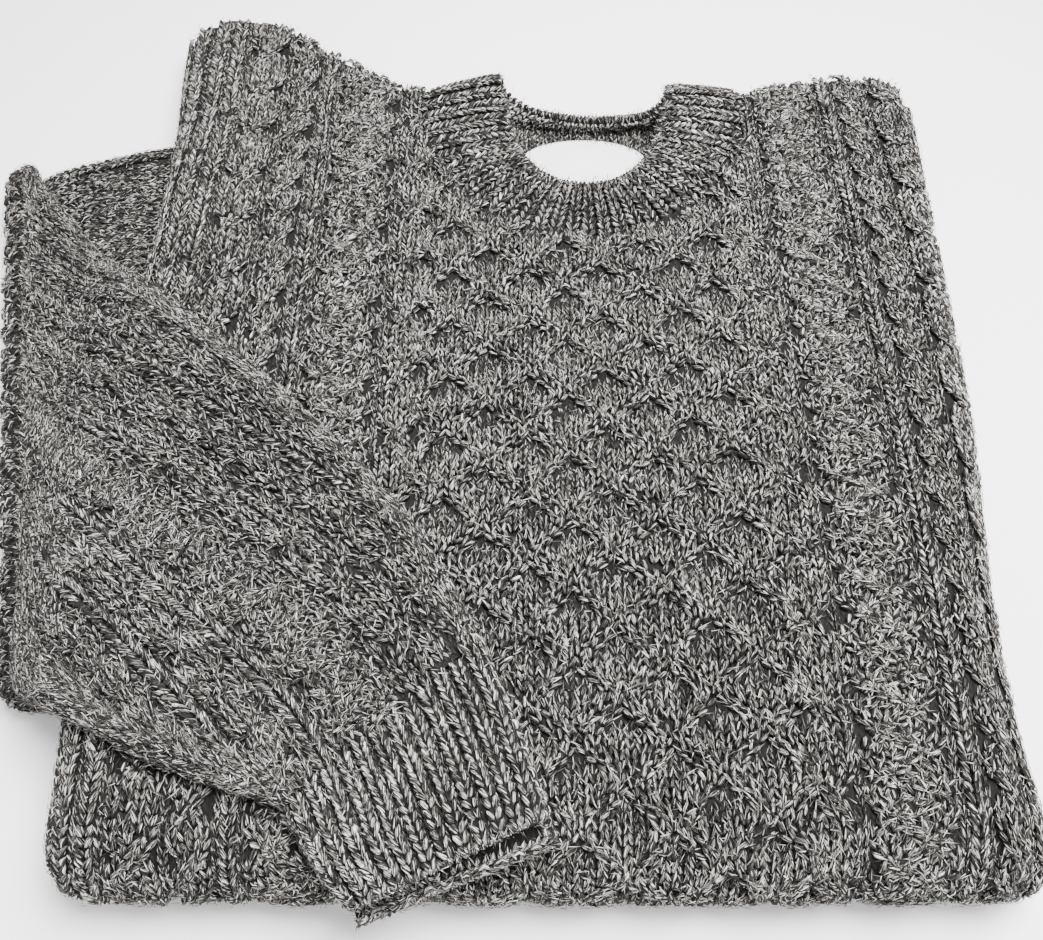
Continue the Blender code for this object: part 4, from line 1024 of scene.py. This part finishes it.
def neckFacing(angle, share):
    # The line's normal, averaged over a few degrees each way so that the fold at the shoulders stays open
    clipped = np.clip(share, 0.02, 0.98)
    facing = sum(surfaceFrame(neckLine, angle + turn, clipped)[2] for turn in (-0.15, -0.1, -0.05, 0, 0.05, 0.1, 0.15))
    return unit(facing)


def neckWall(angle):
    # The wall's thickness, which thins where the band folds at the shoulders
    bend = np.abs(np.abs(wrapped(angle)) - neck["fold"])
    return neck["wall"] - (neck["wall"] - neck["foldWall"]) * (1 - smoothStep(bend, 0.12, 0.55))


def neckLay(angle, share):
    # On the band: its unit slope towards the rim, its normal and the width of a rib
    slopeAngle, slopeShare, _ = surfaceFrame(neckLine, angle + 0.001, share, 0.0012)
    ribWidth = np.linalg.norm(slopeAngle, axis=-1) * (2 * math.pi / neck["ribs"])
    return unit(slopeShare), neckFacing(angle + 0.001, share), ribWidth


def makeNeckband():
    # The ribbed wall, then its stitches: outside, inside at the back, and round the rim
    angles = np.linspace(-math.pi, math.pi, neck["ribs"] * 4, endpoint=False)
    angle, share = np.meshgrid(angles, np.linspace(0, 1, 12))
    facing = neckFacing(angle, share)
    ribs = (0.5 + 0.5 * np.cos(neck["ribs"] * angle)) * neck["ribDepth"]
    roll = 1 - smoothStep(share, 0.86, 1.0) * 0.9
    outer = neckLine(angle, share) + facing * (ribs * roll - 0.0008 * (1 - roll))[..., None]
    inner = neckLine(angle, share) - facing * (neckWall(angle) * (0.75 + 0.25 * roll))[..., None]
    uv = np.stack([angle * 0.075, share * 0.05], axis=-1)
    cloth = wallMesh("neckbandCloth", outer, inner, True, clothNeck, uv)
    # Along each rib, as many stitches as its length has room for
    ribAngles = 2 * math.pi * np.arange(neck["ribs"]) / neck["ribs"] - math.pi
    jobs = []
    for ribAngle in ribAngles:
        line = neckLine(np.full(30, ribAngle), np.linspace(0, 1, 30))
        length = np.linalg.norm(np.diff(line, axis=0), axis=-1).sum()
        rows = max(2, int(round(length / neck["pitch"])))
        jobs.append((np.full(rows, ribAngle), (np.arange(rows) + 0.5) / rows, np.full(rows, length / rows)))
    angle, share, pitch = joined(jobs)
    onwards, up, ribWidth = neckLay(angle, share)
    along = onwards * pitch[:, None]
    across = sideOf(along, up, (ribWidth * 0.84)[:, None])
    centre = neckLine(angle, share) + up * (neck["ribDepth"] * (1 - 0.6 * smoothStep(share, 0.85, 1.0)))[:, None]
    stitches = addStitches("neckStitches", centre, along, across, up, yarnNeck, 0.98)
    # The inside of the back half shows over the label; its tone is raised to 1.30 as painted light against the band's
    # shadow
    back = np.abs(wrapped(angle)) > neck["frontTurn"]
    centre = neckLine(angle, share) - up * (neckWall(angle) + 0.0002)[:, None]
    inside = addStitches("neckInsideStitchesPaintedLight", centre[back], along[back], across[back], -up[back], yarnNeck, 1.30)
    # Round the rim, turned over into the neck in rows by their angle from the band's face; at the back only two
    edge = np.full(len(ribAngles), 0.985)
    onwards, face, ribWidth = neckLay(ribAngles, edge)
    size = np.minimum(neck["round"], neckWall(ribAngles) * 0.65)[:, None]
    front = np.abs(wrapped(ribAngles)) < neck["frontTurn"]
    jobs = []
    for turn in (30, 75, 120, 160):
        lean = math.radians(turn)
        up = unit(face * math.cos(lean) + onwards * math.sin(lean))
        centre = neckLine(ribAngles, edge) - face * size * 0.8 + up * size * 1.15
        along = unit(onwards * math.cos(lean) - face * math.sin(lean)) * 0.0034
        keep = front | (turn < 100)
        jobs.append([row[keep] for row in (centre, along, sideOf(along, up, (ribWidth * 0.9)[:, None]), up)])
    # The rim's tone is lowered to 0.82 as painted shade against the light on its top
    rim = addStitches("neckRimStitchesPaintedShade", *joined(jobs), yarnNeck, 0.82)
    return cloth, [stitches, inside, rim]


# The neckband's cloth is set dark, lightness -0.32, as painted shade where it shows between the stitches
clothNeck = clothFinish("neckCloth", -0.32, neck["pitch"], 0.0070)
neckCloth, neckStitches = makeNeckband()
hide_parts("neckband")
print("neckband done")


# The back panel

label = {"half": 0.0500, "foot": 0.4975, "height": 0.0535, "thick": 0.0008, "hem": 0.0020}


def backPoint(across, length):
    # The back from under the neck to the shoulder seam: level, then up round the back edge by the rear turn
    x = body["centreX"] + across
    radius = body["rearRadius"]
    rearStart = rearEdge.at("y", x) - radius
    beta = np.clip(length / radius, 0, math.pi)
    y = rearStart + radius * np.sin(beta) + np.minimum(length, 0)
    z = bodyEdges.at("top", np.minimum(y, rearStart)) - radius * (1 + np.cos(beta))
    return np.stack(np.broadcast_arrays(x, y, z), axis=-1)


def backEnd(x):
    # How far the back goes up round its edge: to the shoulder seam, but not at all behind the neck
    near = smoothStep(np.abs(x - body["neckCentre"][0]), 0.085, 0.112)
    return near * body["rearRadius"] * (math.pi - body["seamTurn"] - 0.10) - (1 - near) * 0.003


def backLay(across, length):
    # The back's slope along its length, and its normal on the side of the rear turn's middle
    beta = np.clip(length / body["rearRadius"], 0, math.pi)
    slope, normal = surfaceFrame(backPoint, across, length)[1:]
    return slope, turnedTo(normal, np.stack([0 * beta, -np.sin(beta), np.cos(beta)], axis=-1))


def neckFloorStitches():
    # Flat rows inside the neck, round the label
    x, y = pairsOf(np.arange(-0.052, 0.148, 0.006), np.arange(0.455, 0.575, 0.0048))
    z = bodyEdges.at("top", y) - 2 * body["rearRadius"] + body["wall"] * 1.1
    fromMiddle = x - body["neckCentre"][0]
    oval = (fromMiddle / 0.112) ** 2 + ((y - body["neckCentre"][1]) / 0.135) ** 2
    tall = label["height"] * np.clip(1 - (fromMiddle / label["half"]) ** 2, 0, 1) ** 0.25
    inLabel = (np.abs(fromMiddle) < label["half"] - 0.001) & (y < label["foot"] + tall - 0.002) & (y > 0.4995)
    keep = (oval < 1) & ~inLabel & (y < rearEdge.at("y", x) - body["rearRadius"] - 0.004)
    place = np.stack([x, y, z + 0.0003], axis=-1)[keep]
    return place, *[np.tile(row, (len(place), 1)) for row in ([0, 0.0048, -0.0003], [0.006, 0, 0], [0, 0, 1.0])]


def makeBack():
    # The wall from under the neck up round the back edge, then the stitches that show
    left = bodyEdges.at("left", 0.62) + bodyEdges.at("lip", 0.62) + 0.002
    right = bodyEdges.at("right", 0.60) - bodyEdges.at("lip", 0.60) - 0.006
    x = np.linspace(left, right, 72)
    start = 0.430 - (rearEdge.at("y", x) - body["rearRadius"])
    length = start + np.linspace(0, 1, 34)[:, None] * (backEnd(x) - start)
    across = np.broadcast_to(x - body["centreX"], length.shape)
    outer = backPoint(across, length)
    inner = outer + backLay(across, length)[1] * body["wall"] * 1.1
    cloth = wallMesh("backCloth", outer, inner, False, clothHidden, np.stack([across, length], axis=-1))
    # Stitches where the back shows: round the back edge, and inside the neck
    x, length = pairsOf(np.arange(left + 0.003, right - 0.003, 0.006), np.arange(-0.028, 0.022, body["pitch"]))
    keep = length < backEnd(x) - 0.001
    across, length = x[keep] - body["centreX"], length[keep]
    slope, inward = backLay(across, length)
    along = unit(slope) * body["pitch"]
    edge = (backPoint(across, length) - inward * 0.0001, along, sideOf(along, -inward, 0.006), -inward)
    return cloth, addStitches("backStitches", *joined([edge, neckFloorStitches()]), yarnNeck, 0.92)


backCloth, backStitches = makeBack()
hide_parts("back_panel")
print("back done")


# The label, left plain

def makeLabel():
    # A half oval with its round side up: each column reaches up to the oval's edge
    finish = Finish("labelCloth", roughness=0.62, sheen=0.1)
    uv = finish.node("ShaderNodeUVMap", settings={"uv_map": "clothUV"})
    weave = finish.node("ShaderNodeTexWave", settings={"wave_type": "BANDS", "bands_direction": "X"}, Vector=uv,
                        Scale=430.0, Distortion=0.6, Detail=1.0)
    cross = finish.node("ShaderNodeTexWave", settings={"wave_type": "BANDS", "bands_direction": "Y"}, Vector=uv,
                        Scale=430.0, Distortion=0.6, Detail=1.0)
    place = finish.node("ShaderNodeTexCoord", output=3)
    soil = finish.node("ShaderNodeTexNoise", Vector=place, Scale=60.0, Detail=3.0)
    value = 0.62 + weave * cross * 0.28 + (soil - 0.5) * 0.16
    colour = finish.node("ShaderNodeValToRGB", Fac=value, stops=[
        (0.3, (0.50, 0.52, 0.50)), (0.75, (0.80, 0.84, 0.82)), (1.0, (0.90, 0.93, 0.92))])
    finish.feed("Base Color", colour)
    finish.bump(weave + cross, 0.00012, 0.6)
    turns = np.linspace(0.03, math.pi - 0.03, 56)[None, :]
    rows = np.linspace(0, 1, 30)[:, None]
    tall = label["height"] * np.sin(turns) ** 0.5
    x = body["neckCentre"][0] - label["half"] * np.cos(turns) + 0 * rows
    y = label["foot"] + tall * rows
    floor = bodyEdges.at("top", y) - 2 * body["rearRadius"] + 0.0042
    fromEdge = np.minimum(tall * (1 - rows), (label["half"] - np.abs(x - body["neckCentre"][0])) * 1.2)
    ruffle = 0.0012 * smoothStep(fromEdge, 0, 0.012) * (0.7 + 0.3 * np.sin(x * 160) * np.sin(y * 130))
    hem = 0.0004 * smoothStep(label["hem"] - fromEdge, 0, 0.0006)
    top = np.stack([x, y, floor + 0.0005 + label["thick"] + ruffle + hem], axis=-1)
    under = np.stack([x, y, floor + 0.0005 + 0 * ruffle], axis=-1)
    piece = wallMesh("plainLabel", top, under, False, finish.material, np.stack([x, y], axis=-1))
    return piece


labelPiece = makeLabel()
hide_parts("neck_label")
print("label done")


# The hidden layers

hidden = {
    "lobeOut": 0.016, "rearOut": 0.009, "gap": 0.0032, "fold": 0.037 - 0.0042 - 0.0050, "wall": 0.0042,
    "upperTurns": np.radians([-35, -17, 0, 17, 35, 52, 70]),
    "lowerTurns": np.radians([50, 30, 10, -10, -30, -50, -70]),
}
lowerEdges = Course("y left right", [
    (0.030, -0.236, 0.257), (0.067, -0.240, 0.268), (0.112, -0.238, 0.270), (0.128, -0.205, 0.268),
    (0.150, -0.192, 0.261), (0.200, -0.190, 0.259), (0.300, -0.190, 0.270), (0.450, -0.190, 0.279),
    (0.560, -0.190, 0.284), (0.590, -0.215, 0.285), (0.620, -0.248, 0.286), (0.700, -0.256, 0.287)])


def layerLevels(y, closedFront):
    # Heights of the filling's roof, groove and floor: just inside the body's cloth, or in the front fold a
    # half circle about the fold's axis, whose half height is the root of its radius squared less y squared
    top = bodyEdges.at("top", y)
    underBack = smoothStep(y, 0.33, 0.42)
    roof = top - hidden["wall"] - hidden["gap"] - underBack * (2 * body["rearRadius"] + 0.0010 - hidden["wall"]
                                                              - hidden["gap"])
    groove = top - 1.5 * bodyEdges.at("lip", y) - 0.0012
    if not closedFront:
        return roof, groove, np.zeros_like(top)
    room = np.maximum(hidden["fold"] ** 2 - np.maximum(body["foldAxisY"] - y, 0) ** 2, 1e-8)
    return (body["foldRadius"] + np.sqrt(room), np.full_like(top, body["foldRadius"]),
            body["foldRadius"] - np.sqrt(room))


def layerRing(start, share, squeeze, closedFront):
    # One section: an upper and a lower lobe at each side, joined flat across; it bends with the back edge
    def ringY(x):
        return start + share * (rearEdge.at("y", x) - 0.003 - 0.004 * (1 - squeeze) - start)

    sideY = {"left": float(ringY(-0.235)), "right": float(ringY(0.265))}
    upper, lower = [], []
    for side, sign in (("left", -1), ("right", 1)):
        y = sideY[side]
        lip = float(bodyEdges.at("lip", y))
        axis = float(bodyEdges.at(side, y)) - sign * lip
        underBack = float(smoothStep(y, 0.33, 0.42))
        out = (lip - hidden["wall"] - hidden["gap"]) * (1 - underBack) + 0.0035 * underBack
        lowEdge, lowOut = float(lowerEdges.at(side, y)), hidden["lobeOut"]
        if closedFront:
            room = max(hidden["fold"] ** 2 - max(body["foldAxisY"] - y, 0) ** 2, 1e-8)
            out = 0.010 * math.sqrt(room) / hidden["fold"]
            lowEdge, lowOut = axis + sign * out, out
        upper.append([(axis + sign * out * math.cos(t), math.sin(t)) for t in hidden["upperTurns"]] + [(axis, 1.0)])
        lower.append([(lowEdge + sign * lowOut * (math.cos(t) - 1), math.sin(t)) for t in hidden["lowerTurns"]]
                     + [(lowEdge - sign * lowOut, -1.0)])
    chains = []
    for leftLobe, rightLobe in (upper, lower):
        steps = [place / 40 for place in range(1, 40)]
        flat = [(leftLobe[-1][0] + step * (rightLobe[-1][0] - leftLobe[-1][0]), leftLobe[-1][1]) for step in steps]
        chains.append(leftLobe + flat + rightLobe[::-1])
    chainPoints = [(upper[0][-1][0], 0.0)] + chains[0] + [(upper[1][-1][0], 0.0)] + chains[1][::-1]
    x, level = np.array(chainPoints).T
    kind = np.array([0] + [1] * len(chains[0]) + [0] + [-1] * len(chains[1]))
    y = ringY(x)
    roof, groove, floor = layerLevels(y, closedFront)
    above = groove + (roof - groove) * (1 + level) / 2
    below = floor + (groove - (0 if closedFront else 0.0010) - floor) * (1 + level) / 2
    z = np.where(kind > 0, above, np.where(kind < 0, below, groove))
    middle, half = (roof + floor) / 2, (roof - floor) / 2
    z = middle + (z - middle) * (1 - 0.008 * squeeze / half)
    return np.stack([x, y, z], axis=-1)


def layerCaps(grid):
    # Triangles that close both ends: a fan over each lobe, and a strip across between the upper and lower chains
    count = grid.shape[1]
    lobeCount = len(hidden["upperTurns"]) + 1
    waist = count // 2
    fans = [[0, *range(1, lobeCount + 1)], [0, *range(count - lobeCount, count)],
            [waist, *range(waist - lobeCount, waist)], [waist, *range(waist + 1, waist + lobeCount + 1)]]
    strips = []
    for step in range(waist - 2 * lobeCount):
        top, bottom = lobeCount + step, count - lobeCount - step
        ring = [top, top + 1, bottom - 1, bottom]
        if step == 0:
            ring.append(0)
        if step == waist - 2 * lobeCount - 1:
            ring.insert(2, waist)
        strips.append(ring)
    return np.array([base[[ring[0], ring[k], ring[k + 1]]] for base in (grid[0], grid[-1])
                     for ring in fans + strips for k in range(1, len(ring) - 1)])


def lobeStitches():
    # Along the lower lobes at both sides, where the folded-under half shows its edge, in rows by their angle
    y = np.arange(0.075, 0.585, body["pitch"])
    groove = bodyEdges.at("top", y) - 1.5 * bodyEdges.at("lip", y) - 0.0022
    jobs = []
    for side, sign in (("left", -1), ("right", 1)):
        for turn in np.radians([46, 26, 4, -18, -40]):
            x = lowerEdges.at(side, y) + sign * hidden["lobeOut"] * (math.cos(turn) - 1)
            place = np.stack([x, y, groove * (1 + math.sin(turn)) / 2], axis=-1)
            up = unit(np.broadcast_to([sign * math.cos(turn), 0, math.sin(turn) * 0.8], place.shape))
            along = np.gradient(place, axis=0)
            jobs.append((place, along, sideOf(along, up, 0.0068), up))
    return jobs


def rearStitches():
    # Round the back edge: x along it, and the edge's half oval by its angle
    x = np.arange(-0.240, 0.278, 0.0062)
    edge = rearEdge.at("y", x) - 0.0036
    half = (bodyEdges.at("top", edge) - 2 * body["rearRadius"] - 0.0010) / 2
    jobs = []
    for turn in np.radians([-62, -38, -14, 10, 34, 58]):
        place = np.stack([x, edge - hidden["rearOut"] * (1 - math.cos(turn)), half * (1 + math.sin(turn))], axis=-1)
        lift = np.stack([0 * x, 0 * x - hidden["rearOut"] * math.sin(turn), half * math.cos(turn)], axis=-1)
        side = np.gradient(place, axis=0)
        up = turnedTo(unit(np.cross(lift, side)), np.array([0, 1, 0]))
        jobs.append((place + up * 0.0002, unit(lift) * 0.0050, unit(side) * 0.0060, up))
    return jobs


def makeHidden():
    # The filling, rings along y joined and capped into a closed solid, then the stitches round its sides
    axisY = body["foldAxisY"]
    starts = [axisY - hidden["fold"] * math.sin(math.radians(turn)) for turn in (78, 58, 36, 12)] + [axisY + 0.0020]
    sections = [(y, 0.0, 0.0, True) for y in starts]
    sections += [(y, 0.0, 0.0, False) for y in np.concatenate([[0.0700], np.arange(0.090, 0.481, 0.015)])]
    sections += [(0.480, share, squeeze, False) for share, squeeze in
                 ((0.2, 0), (0.33, 0), (0.48, 0), (0.62, 0), (0.72, 0), (0.82, 0), (0.95, 0.3), (1.0, 1.0))]
    rings = np.array([layerRing(*section) for section in sections])
    points = rings.reshape(-1, 3)
    grid = np.arange(len(points)).reshape(rings.shape[:2])
    turned = np.concatenate([grid, grid[:, :1]], axis=1)
    a, b, c, d = [part.ravel() for part in (turned[:-1, :-1], turned[:-1, 1:], turned[1:, 1:], turned[1:, :-1])]
    triangles = np.concatenate([np.stack([a, b, c], axis=-1), np.stack([a, c, d], axis=-1), layerCaps(grid)])
    piece = putMesh("hiddenLayers", points, triangles, clothHidden)
    mesh = bmesh.new()
    mesh.from_mesh(piece.data)
    bmesh.ops.recalc_face_normals(mesh, faces=mesh.faces)
    if mesh.calc_volume(signed=True) < 0:
        bmesh.ops.reverse_faces(mesh, faces=mesh.faces)
    mesh.to_mesh(piece.data)
    mesh.free()
    loops = np.zeros(len(piece.data.loops), np.int32)
    piece.data.loops.foreach_get("vertex_index", loops)
    place = points[loops] - originShift
    addUv(piece, "clothUV", place[:, :2] + place[:, 2:] * [1, 0])
    return piece, addStitches("hiddenStitches", *joined(lobeStitches() + rearStitches()), yarnBody, 0.95)


hiddenPiece, hiddenStitches = makeHidden()
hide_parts("folded_layers")
print("hidden layers done")

hairWool = hairFinish()
hairPieces = [addHairs("frontHairsA", allStitches[:2], 2.4, hairWool),
              addHairs("frontHairsB", allStitches[2:4], 2.4, hairWool),
              addHairs("sleeveHairs", allStitches[4:5], 2.4, hairWool),
              addHairs("otherHairs", allStitches[5:], 0.9, hairWool)]
print("hairs done")

clothPieces = [frontCloth, sleeveCloth, cuffCloth, neckCloth, backCloth, labelPiece, hiddenPiece]
stitchPieces = [*frontStitches, sleeveStitches, cuffStitches, *neckStitches, backStitches, hiddenStitches, *hairPieces]
for piece in clothPieces + stitchPieces:
    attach(piece, "root")


# Surroundings

studio = {
    "floorHalf": 6, "floorGrey": 0.92, "sky": 1.30, "eyeHeight": 0.59, "lookDown": 63.2, "focalShare": 1000 / 1043,
    "lights": [("overheadBox", (0.27, -0.06, 1.05), (0, 0.05, 0), 0.5, 60),
               ("frontFill", (0.5, -1.3, 0.9), (0, 0, 0), 1.2, 1.5)],
}


def makeStage():
    # Pale floor, white sky and two soft lights, each turned towards its aim
    finish = Finish("floorPaint", roughness=0.85)
    finish.shader.inputs["Base Color"].default_value = (*[studio["floorGrey"]] * 3, 1)
    half = studio["floorHalf"]
    corners = np.array([(-half, -half, 0), (half, -half, 0), (half, half, 0), (-half, half, 0)], float)
    floor = putMesh("paleFloor", corners + originShift, np.array([[0, 1, 2, 3]]), finish.material, smooth=False)
    world = bpy.data.worlds.new("studio")
    bpy.context.scene.world = world
    world.use_nodes = True
    world.node_tree.nodes["Background"].inputs["Color"].default_value = (1.0, 1.0, 1.0, 1)
    world.node_tree.nodes["Background"].inputs["Strength"].default_value = studio["sky"]
    for name, place, aim, size, power in studio["lights"]:
        light = bpy.data.lights.new(name, "AREA")
        light.energy = power
        light.size = size
        holder = bpy.data.objects.new(name, light)
        bpy.context.scene.collection.objects.link(holder)
        direction = np.array(aim) - np.array(place)
        holder.location = place
        flat = math.hypot(direction[0], direction[1])
        holder.rotation_euler = (math.atan2(flat, -direction[2]), 0, math.atan2(-direction[0], direction[1]))


def makeCamera():
    # The photograph's view: its height above the surface in metres, and how many degrees it looks down
    data = bpy.data.cameras.new("photoCamera")
    data.sensor_width = 36
    data.lens = data.sensor_width * studio["focalShare"]
    camera = bpy.data.objects.new("photoCamera", data)
    bpy.context.scene.collection.objects.link(camera)
    camera.location = tuple(np.array([0, 0, studio["eyeHeight"]]) - originShift)
    camera.rotation_euler = (math.radians(90 - studio["lookDown"]), 0, 0)
    bpy.context.scene.camera = camera


makeStage()
makeCamera()
print("stage and camera done")
